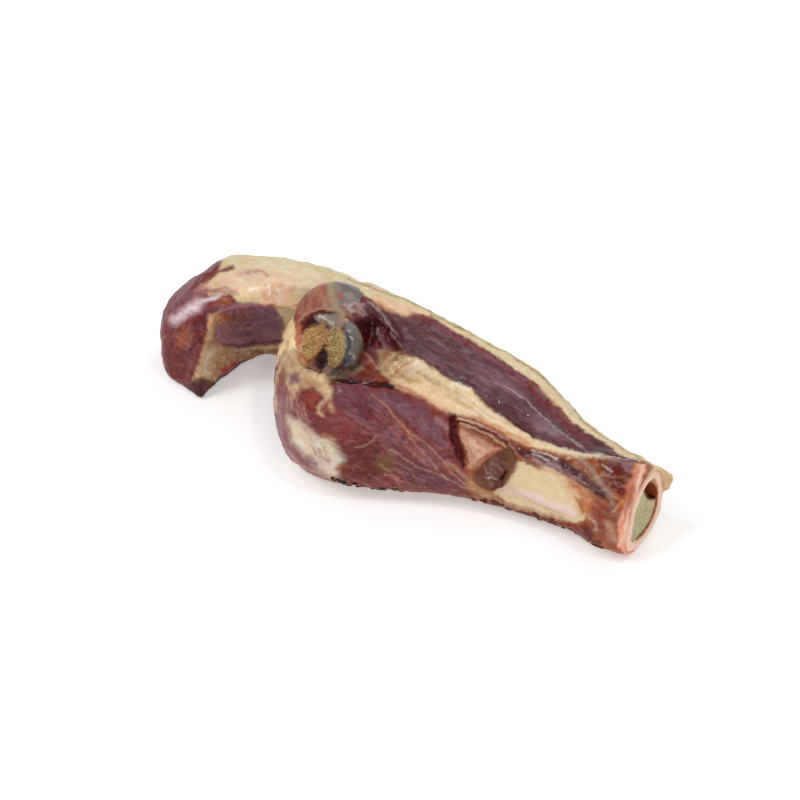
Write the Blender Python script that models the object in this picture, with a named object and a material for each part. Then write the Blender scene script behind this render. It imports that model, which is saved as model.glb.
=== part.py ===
"""The shank of a cured ham after carving: cured meat with its fat and rind, the shin bone that runs
through it to a sawn end, and the marrow that fills the end of that bone.

Units are metres and +Z is up. The shank lies along X on its rind, at z = 0, with the sawn end at +X
and a hooked flap of meat and fat at -X. The carved side, where bone and muscle show, faces -Y and up.
"""

import math
from typing import NamedTuple

import bmesh
import bpy
import numpy as np
from mathutils import Matrix, Vector

# Moves everything from the axis of the shank to the middle of the whole piece.
TO_ORIGIN = Vector((0.0098, 0.0068, 0.0))

# Meat, bone and marrow keep this clearance where they touch.
CLEARANCE = 0.0003

# The shank, from its round thick end to the saw cut, where a lip of skin stands out.
SAWN_X = 0.1205
SHANK_SPAN = (-0.0790, SAWN_X)
SHANK_BLUNT_LENGTH = 0.0380
SHANK_SIDES = 48
SHANK_RINGS = 44
SKIN_LIP_REACH = 0.0060
SKIN_LIP_ANGLE = 25.0
SKIN_LIP_SPREAD = 30.0

# The flap, a hook of meat whose roof reaches from the thick end and whose tip stands on the ground.
FLAP_SPAN = (-0.1460, -0.0050)
FLAP_BLUNT_LENGTH = 0.0220
FLAP_SIDES = 36
FLAP_RINGS = 20
FLAP_FOOT_Z = 0.0006
HOLLOW_SPAN = (-0.1080, 0.0000)
HOLLOW_BLUNT_LENGTH = 0.0060
HOLLOW_RINGS = 8
ROOF_CUT = ((-0.1035, -0.0700), (-0.1035, -0.0140), (-0.0740, 0.0080), (0.0, 0.0120), (0.0, -0.0700))
ROOF_CUT_CORNER = 0.0060
ROOF_CUT_HEIGHTS = (-0.0100, 0.1000)

# The bone. Its rounded head and the condyle below it lie bare in a basin of meat, and a flat cut
# through the condyle faces up and to the front.
HEAD_CENTRE = Vector((-0.0460, 0.0030, 0.0540))
HEAD_RADIUS = 0.0195
CONDYLE_CENTRE = Vector((-0.0430, -0.0100, 0.0485))
CONDYLE_RADIUS = 0.0170
CUT_NORMAL = Vector((0.36, -0.66, 0.66)).normalized()
CUT_DEPTH = 0.0050
CUT_RADIUS = 0.0130
CUT_REACH = 0.0400
BASIN_CENTRE = Vector((-0.0250, -0.0160, 0.0700))
BASIN_RADII = Vector((0.0260, 0.0230, 0.0250))
BONE_BLUNT_LENGTH = 0.0100
BONE_SIDES = 28
BONE_RINGS = 24
WINDOW_CENTRE = Vector((0.0790, -0.0218, 0.0215))
WINDOW_RADII = Vector((0.0260, 0.0120, 0.0145))

# The marrow in the bone's open end, with a slot beside it.
CAVITY_LENGTH = 0.0300
CAVITY_BLUNT_LENGTH = 0.0060
CAVITY_RINGS = 8
BONE_WALL = 0.0034
MARROW_RECESS = 0.0008
SLOT_CENTRE = Vector((0.1205, 0.0090, 0.0300))
SLOT_RADII = Vector((0.0140, 0.0060, 0.0130))
SLOT_TILT = math.radians(30.0)

# Cutters run on past the saw cut by this much.
PAST_THE_SAW = 0.0100

# Rings over the round end of each lofted body, and the facets of the simple cutters.
CAP_RINGS = 8
BALL_SEGMENTS = 20
BALL_RINGS = 14
ROD_SEGMENTS = 24
CORNER_SEGMENTS = 5

# Colours and roughness of the plain finishes.
MEAT_COLOUR = (0.30, 0.10, 0.09)
MEAT_ROUGHNESS = 0.35
BONE_COLOUR = (0.75, 0.55, 0.38)
BONE_ROUGHNESS = 0.40
MARROW_COLOUR = (0.50, 0.42, 0.25)
MARROW_ROUGHNESS = 0.50


class Station(NamedTuple):
    """A cross-section of a lofted body. Lean shifts the top towards +Y, a fullness above 2 fills the
    corners of an ellipse, and taper narrows the top and widens the base."""

    x: float
    centre_y: float
    centre_z: float
    half_width: float
    half_height: float
    lean: float
    fullness: float
    taper: float = 0.0


class Relief(NamedTuple):
    """A ridge over a lofted body, or a groove where height is below zero. Angles are in degrees from
    +Y over the top."""

    start_x: float
    start_angle: float
    end_x: float
    end_angle: float
    half_width: float
    height: float


SHANK_STATIONS = (
    Station(-0.0790, 0.0110, 0.0290, 0.0300, 0.0290, 0.42, 3.0),
    Station(-0.0600, 0.0028, 0.0310, 0.0330, 0.0315, 0.36, 2.8),
    Station(-0.0370, -0.0080, 0.0345, 0.0386, 0.0355, 0.33, 2.4),
    Station(-0.0200, -0.0100, 0.0350, 0.0398, 0.0360, 0.32, 2.3),
    Station(0.0000, -0.0060, 0.0332, 0.0365, 0.0342, 0.32, 2.3),
    Station(0.0180, 0.0002, 0.0300, 0.0328, 0.0310, 0.32, 2.3),
    Station(0.0320, 0.0047, 0.0276, 0.0302, 0.0284, 0.32, 2.3),
    Station(0.0460, 0.0072, 0.0255, 0.0280, 0.0262, 0.32, 2.3),
    Station(0.0740, 0.0062, 0.0204, 0.0228, 0.0208, 0.25, 2.2),
    Station(0.0960, 0.0030, 0.0202, 0.0200, 0.0204, 0.15, 2.1),
    Station(0.1080, 0.0012, 0.0206, 0.0190, 0.0208, 0.08, 2.3, 0.12),
    Station(0.1205, 0.0030, 0.0208, 0.0172, 0.0210, 0.05, 2.5, 0.22),
)

SHANK_RELIEF = (
    Relief(-0.0080, 76.0, 0.0880, 80.0, 0.0110, -0.0035),
    Relief(-0.0020, 113.0, 0.1000, 97.0, 0.0060, 0.0025),
    Relief(-0.0200, 60.0, 0.1100, 56.0, 0.0050, 0.0010),
    Relief(-0.0400, 150.0, 0.0300, 158.0, 0.0180, 0.0020),
    Relief(0.0440, 138.0, 0.0480, 168.0, 0.0065, -0.0014),
)

FLAP_STATIONS = (
    Station(-0.1460, 0.0035, 0.0160, 0.0240, 0.0290, 0.10, 3.0),
    Station(-0.1300, 0.0025, 0.0175, 0.0250, 0.0295, 0.10, 2.8),
    Station(-0.1200, 0.0040, 0.0195, 0.0265, 0.0365, 0.10, 2.6, 0.04),
    Station(-0.1050, 0.0045, 0.0210, 0.0285, 0.0400, 0.12, 2.6, 0.08),
    Station(-0.0900, 0.0085, 0.0210, 0.0275, 0.0420, 0.10, 2.6),
    Station(-0.0750, 0.0100, 0.0215, 0.0275, 0.0430, 0.10, 2.6),
    Station(-0.0480, 0.0100, 0.0220, 0.0270, 0.0420, 0.10, 2.6),
    Station(-0.0050, 0.0020, 0.0300, 0.0180, 0.0240, 0.10, 2.3),
)

HOLLOW_STATIONS = (
    Station(-0.1080, -0.0140, 0.0000, 0.0300, 0.0450, 0.0, 3.0),
    Station(-0.0980, -0.0140, 0.0000, 0.0360, 0.0500, 0.0, 3.0),
    Station(-0.0900, -0.0140, 0.0000, 0.0380, 0.0510, 0.0, 3.0),
    Station(-0.0500, -0.0140, 0.0000, 0.0390, 0.0500, 0.0, 3.0),
    Station(0.0000, -0.0200, 0.0000, 0.0360, 0.0500, 0.0, 3.0),
)

BONE_STATIONS = (
    Station(-0.0500, 0.0010, 0.0480, 0.0140, 0.0140, 0.0, 2.0),
    Station(-0.0300, 0.0010, 0.0370, 0.0112, 0.0112, 0.0, 2.0),
    Station(-0.0100, -0.0010, 0.0335, 0.0110, 0.0110, 0.0, 2.0),
    Station(0.0200, -0.0040, 0.0295, 0.0108, 0.0108, 0.0, 2.0),
    Station(0.0400, -0.0045, 0.0280, 0.0112, 0.0112, 0.0, 2.0),
    Station(0.0600, -0.0030, 0.0235, 0.0118, 0.0118, 0.0, 2.0),
    Station(0.0790, -0.0008, 0.0205, 0.0125, 0.0128, 0.0, 2.0),
    Station(0.0980, 0.0015, 0.0205, 0.0140, 0.0150, 0.0, 2.0),
    Station(0.1205, 0.0030, 0.0208, 0.0156, 0.0192, 0.05, 2.4, 0.22),
    Station(0.1305, 0.0030, 0.0208, 0.0156, 0.0192, 0.05, 2.4, 0.22),
)


def smooth_curve(knots, values, x):
    """Smooth values at the places x, through the values at the knots."""
    slopes = np.gradient(values, knots)
    i = np.clip(np.searchsorted(knots, x) - 1, 0, len(knots) - 2)
    step = knots[i + 1] - knots[i]
    t = np.clip((x - knots[i]) / step, 0.0, 1.0)
    from_left = (1 + 2 * t) * (1 - t) ** 2 * values[i] + t * (1 - t) ** 2 * step * slopes[i]
    from_right = t * t * (3 - 2 * t) * values[i + 1] + t * t * (t - 1) * step * slopes[i + 1]
    return from_left + from_right


def relief_height(reliefs, x, angle, girth_radius):
    """How far the ridges and grooves lift the surface at x and angle, in degrees."""
    total = np.zeros(np.broadcast(x, angle).shape)
    for ridge in reliefs:
        run = ridge.end_x - ridge.start_x
        along = np.clip((x - ridge.start_x) / run, 0.0, 1.0)
        line_angle = ridge.start_angle + along * (ridge.end_angle - ridge.start_angle)
        aside = np.radians(angle - line_angle) * girth_radius
        beyond = x - (ridge.start_x + along * run)
        reach = np.hypot(aside, beyond) / ridge.half_width
        total += ridge.height * np.exp(-reach ** 2)
    return total


def ring_places(left, right, blunt_length, rings):
    """Places of the rings along X, with how much each is drawn in, for a body with a round left end."""
    turn = np.arange(1, CAP_RINGS + 1) / CAP_RINGS * math.pi / 2
    cap_x = left + blunt_length * (1 - np.cos(turn))
    body_x = np.linspace(left + blunt_length, right, rings)[1:]
    return np.concatenate([cap_x, body_x]), np.concatenate([np.sin(turn), np.ones(len(body_x))])


def object_from(name, builder):
    """A new object whose mesh comes from a bmesh, with its faces turned outwards."""
    mesh = bpy.data.meshes.new(name)
    bmesh.ops.recalc_face_normals(builder, faces=builder.faces)
    builder.to_mesh(mesh)
    builder.free()
    mesh.shade_smooth()
    thing = bpy.data.objects.new(name, mesh)
    bpy.context.scene.collection.objects.link(thing)
    thing.location = TO_ORIGIN
    return thing


def loft(name, stations, span, blunt_length, sides, rings, reliefs=(), floor=None, lip_reach=0.0):
    """A closed body through the stations, round at the left end of its span and cut off at the right."""
    table = np.array(stations)
    left, right = span
    places, shrink = ring_places(left, right, blunt_length, rings)
    columns = [smooth_curve(table[:, 0], column, places)[:, None] for column in table.T[1:]]
    centre_y, centre_z, half_width, half_height, lean, fullness, taper = columns
    angle = (np.arange(sides) / sides * 360.0)[None, :]
    cosine = np.cos(np.radians(angle))
    sine = np.sin(np.radians(angle))
    across = np.sign(cosine) * np.abs(cosine) ** (2 / fullness)
    upward = np.sign(sine) * np.abs(sine) ** (2 / fullness)
    lift = relief_height(reliefs, places[:, None], angle, (half_width + half_height) / 2)
    width = (half_width + lift) * shrink[:, None]
    height = (half_height + lift) * shrink[:, None]
    x = np.repeat(places[:, None], sides, axis=1)
    x[-1] += lip_reach * np.exp(-((angle[0] - SKIN_LIP_ANGLE) / SKIN_LIP_SPREAD) ** 2)
    y = centre_y + width * (1 - taper * upward) * across + lean * height * upward
    z = centre_z + height * upward
    pole_y = centre_y[0, 0]
    pole_z = centre_z[0, 0]
    if floor is not None:
        z = np.maximum(z, floor)
        pole_z = max(pole_z, floor)
    builder = bmesh.new()
    rows = [[builder.verts.new(point) for point in zip(*row)] for row in zip(x, y, z)]
    pole = builder.verts.new((left, pole_y, pole_z))
    hub = builder.verts.new((right, centre_y[-1, 0], centre_z[-1, 0]))
    for side in range(sides):
        following = (side + 1) % sides
        builder.faces.new((pole, rows[0][side], rows[0][following]))
        builder.faces.new((hub, rows[-1][following], rows[-1][side]))
        for row, next_row in zip(rows, rows[1:]):
            builder.faces.new((row[side], next_row[side], next_row[following], row[following]))
    return object_from(name, builder)


def as_cutter(thing):
    """Marks a helper, which shapes other objects and isn't part of the piece itself."""
    thing.hide_render = True
    thing.display_type = "WIRE"
    return thing


def boolean(thing, operation, other):
    """Joins other to thing, or cuts it from thing."""
    modifier = thing.modifiers.new(f"{operation} {other.name}", "BOOLEAN")
    modifier.operation = operation
    modifier.object = other
    modifier.solver = "EXACT"


def prism(name, outline, heights, corner_radius):
    """A solid with an outline in plan between two heights, its upright edges rounded."""
    low, high = heights
    builder = bmesh.new()
    base = builder.faces.new([builder.verts.new((x, y, low)) for x, y in outline])
    extruded = bmesh.ops.extrude_face_region(builder, geom=[base])["geom"]
    for vertex in (item for item in extruded if isinstance(item, bmesh.types.BMVert)):
        vertex.co.z = high
    upright = [edge for edge in builder.edges if edge.verts[0].co.z != edge.verts[1].co.z]
    bmesh.ops.bevel(
        builder,
        geom=upright,
        offset=corner_radius,
        segments=CORNER_SEGMENTS,
        affect="EDGES",
        profile=0.5,
    )
    return object_from(name, builder)


def ball(name, centre, radii, tilt=0.0):
    """An ellipsoid, tilted about X."""
    builder = bmesh.new()
    place = Matrix.Translation(centre) @ Matrix.Rotation(tilt, 4, "X") @ Matrix.Diagonal((*radii, 1.0))
    bmesh.ops.create_uvsphere(
        builder,
        u_segments=BALL_SEGMENTS,
        v_segments=BALL_RINGS,
        radius=1.0,
        matrix=place,
    )
    return object_from(name, builder)


def rod(name, start, direction, length, radius):
    """A cylinder from a point along a direction."""
    builder = bmesh.new()
    turn = direction.to_track_quat("Z", "Y").to_matrix().to_4x4()
    place = Matrix.Translation(start + direction * length / 2) @ turn
    bmesh.ops.create_cone(
        builder,
        cap_ends=True,
        segments=ROD_SEGMENTS,
        radius1=radius,
        radius2=radius,
        depth=length,
        matrix=place,
    )
    return object_from(name, builder)


def material(name, colour, roughness):
    """A plain finish in the part's own colour."""
    made = bpy.data.materials.new(name)
    made.use_nodes = True
    shader = made.node_tree.nodes["Principled BSDF"]
    shader.inputs["Base Color"].default_value = (*colour, 1.0)
    shader.inputs["Roughness"].default_value = roughness
    shader.inputs["Metallic"].default_value = 0.0
    return made


def grown(stations, margin):
    """Stations of the same body with its girth larger by a margin."""
    return [
        station._replace(
            half_width=station.half_width + margin,
            half_height=station.half_height + margin,
        )
        for station in stations
    ]


def bone_solid(name, margin, right):
    """The whole bone before its cuts, larger by a margin, up to a place along X."""
    span = (BONE_STATIONS[0].x - margin, right)
    bone = loft(name, grown(BONE_STATIONS, margin), span, BONE_BLUNT_LENGTH, BONE_SIDES, BONE_RINGS)
    knobs = (
        ("head", HEAD_CENTRE, HEAD_RADIUS),
        ("condyle", CONDYLE_CENTRE, CONDYLE_RADIUS),
    )
    for knob, centre, radius in knobs:
        radii = Vector((1.0, 1.0, 1.0)) * (radius + margin)
        boolean(bone, "UNION", as_cutter(ball(f"{name}_{knob}", centre, radii)))
    return bone


def cavity_solid(name, margin, right):
    """The hollow of the bone's sawn end, smaller by a margin, up to a place along X."""
    span = (SAWN_X - CAVITY_LENGTH + margin, right)
    stations = grown(BONE_STATIONS, -BONE_WALL - margin)
    return loft(name, stations, span, CAVITY_BLUNT_LENGTH, BONE_SIDES, CAVITY_RINGS)


def build_flap():
    """The hooked flap beyond the knee, hollow below its roof and open to the front."""
    flap = loft(
        "flap",
        FLAP_STATIONS,
        FLAP_SPAN,
        FLAP_BLUNT_LENGTH,
        FLAP_SIDES,
        FLAP_RINGS,
        floor=FLAP_FOOT_Z,
    )
    hollow = loft(
        "flap_hollow",
        HOLLOW_STATIONS,
        HOLLOW_SPAN,
        HOLLOW_BLUNT_LENGTH,
        FLAP_SIDES,
        HOLLOW_RINGS,
    )
    roof_cut = prism("roof_cut", ROOF_CUT, ROOF_CUT_HEIGHTS, ROOF_CUT_CORNER)
    boolean(flap, "DIFFERENCE", as_cutter(hollow))
    boolean(flap, "DIFFERENCE", as_cutter(roof_cut))
    return as_cutter(flap)


def build_meat(knee_cut):
    """The block of cured meat, fat and rind, with the flap, and its openings onto the bone."""
    meat = loft(
        "meat",
        SHANK_STATIONS,
        SHANK_SPAN,
        SHANK_BLUNT_LENGTH,
        SHANK_SIDES,
        SHANK_RINGS,
        reliefs=SHANK_RELIEF,
        floor=0.0,
        lip_reach=SKIN_LIP_REACH,
    )
    boolean(meat, "UNION", build_flap())
    boolean(meat, "DIFFERENCE", as_cutter(ball("basin", BASIN_CENTRE, BASIN_RADII)))
    boolean(meat, "DIFFERENCE", as_cutter(ball("window", WINDOW_CENTRE, WINDOW_RADII)))
    bone_space = bone_solid("bone_space", CLEARANCE, SAWN_X + PAST_THE_SAW)
    boolean(meat, "DIFFERENCE", as_cutter(bone_space))
    boolean(meat, "DIFFERENCE", knee_cut)
    meat.data.materials.append(material("cured_meat", MEAT_COLOUR, MEAT_ROUGHNESS))
    return meat


def build_bone(knee_cut):
    """The shin bone, cut flat at the knee and sawn open at its other end."""
    bone = bone_solid("bone", 0.0, SAWN_X)
    boolean(bone, "DIFFERENCE", knee_cut)
    cavity = cavity_solid("cavity", 0.0, SAWN_X + PAST_THE_SAW)
    boolean(bone, "DIFFERENCE", as_cutter(cavity))
    bone.data.materials.append(material("shin_bone", BONE_COLOUR, BONE_ROUGHNESS))
    return bone


def build_marrow():
    """The marrow in the sawn end, with a slot along its top."""
    marrow = cavity_solid("marrow", CLEARANCE, SAWN_X - MARROW_RECESS)
    slot = ball("slot", SLOT_CENTRE, SLOT_RADII, tilt=SLOT_TILT)
    boolean(marrow, "DIFFERENCE", as_cutter(slot))
    marrow.data.materials.append(material("bone_marrow", MARROW_COLOUR, MARROW_ROUGHNESS))
    return marrow


def main():
    """Clears the scene and builds the piece."""
    for thing in list(bpy.data.objects):
        bpy.data.objects.remove(thing)
    cut_start = CONDYLE_CENTRE + CUT_NORMAL * (CONDYLE_RADIUS - CUT_DEPTH)
    knee_cut = as_cutter(rod("knee_cut", cut_start, CUT_NORMAL, CUT_REACH, CUT_RADIUS))
    build_meat(knee_cut)
    build_bone(knee_cut)
    build_marrow()


main()
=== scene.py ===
"""Looks of a carved cured ham shank: moist meat and fat with a leathery rind, a bare knuckle, the
pale shin bone with its sawn end, and the marrow in it.

Units are metres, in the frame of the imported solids. Marks on the surface are placed by the pixel
where the 800 x 800 photograph shows them, and painted on what the camera there sees.
"""

import logging
import math
import random
from dataclasses import dataclass, field
from enum import Enum

import bmesh
import bpy
import numpy as np
from mathutils import Matrix, Vector, noise
from mathutils.bvhtree import BVHTree

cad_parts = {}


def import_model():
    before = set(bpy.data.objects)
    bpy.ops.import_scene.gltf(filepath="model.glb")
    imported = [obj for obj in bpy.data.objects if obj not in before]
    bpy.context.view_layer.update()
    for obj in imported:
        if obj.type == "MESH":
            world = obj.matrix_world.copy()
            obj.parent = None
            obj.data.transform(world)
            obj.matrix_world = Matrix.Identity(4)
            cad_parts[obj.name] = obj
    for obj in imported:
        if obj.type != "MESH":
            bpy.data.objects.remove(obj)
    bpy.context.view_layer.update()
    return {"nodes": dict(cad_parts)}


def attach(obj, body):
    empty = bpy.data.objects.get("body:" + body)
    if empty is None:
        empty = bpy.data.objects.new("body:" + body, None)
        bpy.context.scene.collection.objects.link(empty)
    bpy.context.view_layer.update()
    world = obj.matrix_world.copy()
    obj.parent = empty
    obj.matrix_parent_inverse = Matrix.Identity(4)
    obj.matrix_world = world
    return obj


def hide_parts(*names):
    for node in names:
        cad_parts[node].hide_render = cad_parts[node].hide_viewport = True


LOG = logging.getLogger("ham_shank")

Pixel = tuple[float, float]
Range = tuple[float, float]
Triple = tuple[float, float, float]
Hue = tuple[float, float, float, float]
Sockets = dict[str, bpy.types.NodeSocket]

MM = 0.001
TINY = 1e-9
WOBBLE_SEED = 7
BODY = "root"
STRAND_POINTS = 4
STRAND_START = (0.0, 0.65)
STRAND_SHARE = (0.2, 0.5)
STRAND_STRAY = 1.1
STRAND_SOFT = 1.4
STRAND_WIDTHS = (0.7, 1.6)
STRAND_STRENGTHS = (0.6, 1.4)


class Tissue(Enum):
    """Kinds of surface, as the amounts of fibre, fat, gloss, rind and spongy bone in them."""

    LEAN = (1.0, 0.0, 0.55, 0.0, 0.0)
    SINEW = (0.5, 0.3, 0.9, 0.0, 0.0)
    FAT = (0.1, 1.0, 0.5, 0.0, 0.0)
    BONE = (0.1, 0.4, 0.6, 0.0, 0.0)
    CARTILAGE = (0.1, 0.1, 1.0, 0.0, 0.0)
    SPONGE = (0.0, 0.0, 0.15, 0.0, 1.0)
    RIND = (0.0, 0.3, 0.25, 1.0, 0.0)
    DRIED = (0.6, 0.0, 0.15, 0.2, 0.0)
    HOLLOW = (0.0, 0.0, 0.1, 0.0, 0.0)


TISSUE_FIELDS = ("fibre", "fat", "gloss", "rind", "sponge")


class Tone(Enum):
    """Colours of the surface in 8-bit sRGB, each with its tissue."""

    SLAB = ((93, 60, 64), Tissue.LEAN)
    SLAB_DARK = ((84, 58, 62), Tissue.LEAN)
    SLAB_PURPLE = ((112, 82, 98), Tissue.LEAN)
    SLAB_RED = ((128, 52, 56), Tissue.LEAN)
    LEAN_RED = ((132, 58, 52), Tissue.LEAN)
    LEAN_PINK = ((160, 104, 102), Tissue.LEAN)
    LEAN_MAUVE = ((152, 112, 120), Tissue.LEAN)
    LEAN_PURPLE = ((112, 68, 76), Tissue.LEAN)
    HOOD = ((120, 42, 38), Tissue.LEAN)
    HOOD_DARK = ((78, 28, 34), Tissue.LEAN)
    # Pale colour of the sheen on the hood: a painted highlight.
    HOOD_SHEEN = ((238, 218, 224), Tissue.SINEW)
    BLOOD = ((112, 22, 22), Tissue.SINEW)
    GASH = ((78, 8, 10), Tissue.HOLLOW)
    SHADOW = ((38, 14, 12), Tissue.HOLLOW)
    TIP = ((72, 26, 22), Tissue.DRIED)
    WEB = ((202, 172, 132), Tissue.FAT)
    WALL = ((170, 118, 126), Tissue.LEAN)
    WALL_BROWN = ((166, 110, 88), Tissue.LEAN)
    # Pale mauve of the lean, used for pale fibres and for the painted sheen on the slab.
    SLAB_PALE_AND_SHEEN = ((146, 116, 122), Tissue.LEAN)
    BROWN_RED = ((98, 42, 30), Tissue.LEAN)
    CHEEK = ((255, 228, 176), Tissue.FAT)
    CRIMSON = ((178, 26, 22), Tissue.SINEW)
    ROSE = ((246, 200, 176), Tissue.FAT)
    SKIN_PALE = ((228, 202, 160), Tissue.FAT)
    RUST = ((150, 70, 42), Tissue.SINEW)
    ORANGE = ((206, 118, 64), Tissue.SINEW)
    AMBER = ((206, 136, 84), Tissue.FAT)
    PEACH = ((238, 186, 150), Tissue.FAT)
    CREAM = ((232, 208, 162), Tissue.FAT)
    FAT_YELLOW = ((222, 208, 168), Tissue.FAT)
    FAT_PALE = ((238, 224, 200), Tissue.FAT)
    FAT_WHITE = ((220, 210, 190), Tissue.FAT)
    FAT_PINK = ((224, 176, 156), Tissue.FAT)
    FAT_OLIVE = ((190, 160, 96), Tissue.FAT)
    OLIVE = ((128, 108, 70), Tissue.DRIED)
    TAN = ((166, 122, 82), Tissue.FAT)
    FASCIA = ((206, 166, 132), Tissue.SINEW)
    SILVER = ((184, 164, 166), Tissue.SINEW)
    # White for painted glints and highlights on wet surfaces.
    WHITE_GLINT = ((244, 236, 222), Tissue.CARTILAGE)
    TRIANGLE = ((196, 142, 116), Tissue.SINEW)
    KNOB = ((104, 54, 40), Tissue.DRIED)
    TENDON = ((66, 32, 34), Tissue.SINEW)
    END_MEAT = ((156, 80, 46), Tissue.SINEW)
    END_DARK = ((94, 20, 16), Tissue.SINEW)
    BROWN = ((96, 62, 48), Tissue.DRIED)
    BLACK = ((40, 34, 32), Tissue.DRIED)
    RIND_EDGE = ((176, 150, 96), Tissue.RIND)
    RIND_BACK = ((178, 132, 84), Tissue.RIND)
    DOME_RED = ((166, 92, 78), Tissue.CARTILAGE)
    DOME_DARK = ((106, 52, 50), Tissue.CARTILAGE)
    DOME_BEIGE = ((168, 148, 116), Tissue.CARTILAGE)
    DOME_GREY = ((134, 122, 112), Tissue.CARTILAGE)
    DOME_BLUE = ((104, 98, 100), Tissue.CARTILAGE)
    GRISTLE = ((126, 128, 133), Tissue.CARTILAGE)
    GRISTLE_DARK = ((50, 48, 58), Tissue.CARTILAGE)
    GREY_RIM = ((160, 146, 116), Tissue.CARTILAGE)
    GREY_TISSUE = ((156, 136, 124), Tissue.SINEW)
    SPONGE_BROWN = ((186, 140, 84), Tissue.SPONGE)
    SPONGE_OLIVE = ((166, 142, 90), Tissue.SPONGE)
    SPONGE_PALE = ((214, 190, 128), Tissue.SPONGE)
    BONE_CREAM = ((226, 208, 168), Tissue.BONE)
    BONE_PINK = ((234, 212, 204), Tissue.BONE)
    BONE_PLAIN = ((214, 176, 134), Tissue.BONE)
    RING_PINK = ((232, 160, 132), Tissue.BONE)
    RING_PALE = ((240, 204, 180), Tissue.BONE)
    MARROW = ((184, 178, 140), Tissue.FAT)
    MARROW_PALE = ((206, 190, 152), Tissue.FAT)
    MARROW_STAIN = ((118, 110, 84), Tissue.FAT)


class Shape(Enum):
    """How a mark's points are read: as the outline of an area, or as a line."""

    AREA = "area"
    LINE = "line"


@dataclass(frozen=True)
class Mark:
    """A patch or a streak of one tone on the surface, with its relief in millimetres.

    Half_width is for lines only, in pixels of the photograph, as soft is.
    """

    name: str
    tone: Tone
    shape: Shape
    points: tuple[Pixel, ...]
    half_width: float = 0.0
    soft: float = 2.0
    strength: float = 1.0
    lift: float = 0.0


def area(name: str, tone: Tone, *points: Pixel, soft: float = 2.5, strength: float = 1.0,
         lift: float = 0.0) -> Mark:
    """A patch of a tone inside an outline.

    Args:
        name: What the patch is.
        tone: Its colour and tissue.
        *points: The outline, in pixels.
        soft: Width of its soft edge, in pixels.
        strength: How far the tone covers what is below.
        lift: Relief in millimetres.

    Returns:
        The mark.
    """
    return Mark(name, tone, Shape.AREA, points, 0.0, soft, strength, lift)


def line(name: str, tone: Tone, half_width: float, *points: Pixel, soft: float = 1.6,
         strength: float = 1.0, lift: float = 0.0) -> Mark:
    """A streak of a tone along a line.

    Args:
        name: What the streak is.
        tone: Its colour and tissue.
        half_width: Half its width, in pixels.
        *points: The line, in pixels.
        soft: Width of its soft edge, in pixels.
        strength: How far the tone covers what is below.
        lift: Relief in millimetres.

    Returns:
        The mark.
    """
    return Mark(name, tone, Shape.LINE, points, half_width, soft, strength, lift)


def bundle(name: str, tone: Tone, first: tuple[Pixel, Pixel], last: tuple[Pixel, Pixel], count: int,
           seed: int, half_width: float = 0.45, strength: float = 0.45,
           lift: float = 0.0) -> tuple[Mark, ...]:
    """Fine uneven strands that fill the space between two guide lines.

    Args:
        name: What the strands are.
        tone: Their colour and tissue.
        first: Start and end of one guide line, in pixels.
        last: Start and end of the other.
        count: How many strands there are.
        seed: Start of the random draws.
        half_width: Half the width of a strand, in pixels.
        strength: How far the tone covers what is below.
        lift: Relief in millimetres.

    Returns:
        One mark for each strand.
    """
    draw = random.Random(seed)
    strands = []
    for number in range(count):
        share = (number + draw.random()) / count
        start = [a + (b - a) * share for a, b in zip(first[0], last[0])]
        end = [a + (b - a) * share for a, b in zip(first[1], last[1])]
        low = draw.uniform(*STRAND_START)
        high = low + draw.uniform(*STRAND_SHARE)
        path = []
        for step in range(STRAND_POINTS):
            along = low + (high - low) * step / (STRAND_POINTS - 1)
            path.append(tuple(a + (b - a) * along + draw.uniform(-STRAND_STRAY, STRAND_STRAY)
                              for a, b in zip(start, end)))
        strands.append(line(name, tone, half_width * draw.uniform(*STRAND_WIDTHS), *path,
                            soft=STRAND_SOFT, strength=strength * draw.uniform(*STRAND_STRENGTHS),
                            lift=lift))
    return tuple(strands)


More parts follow.
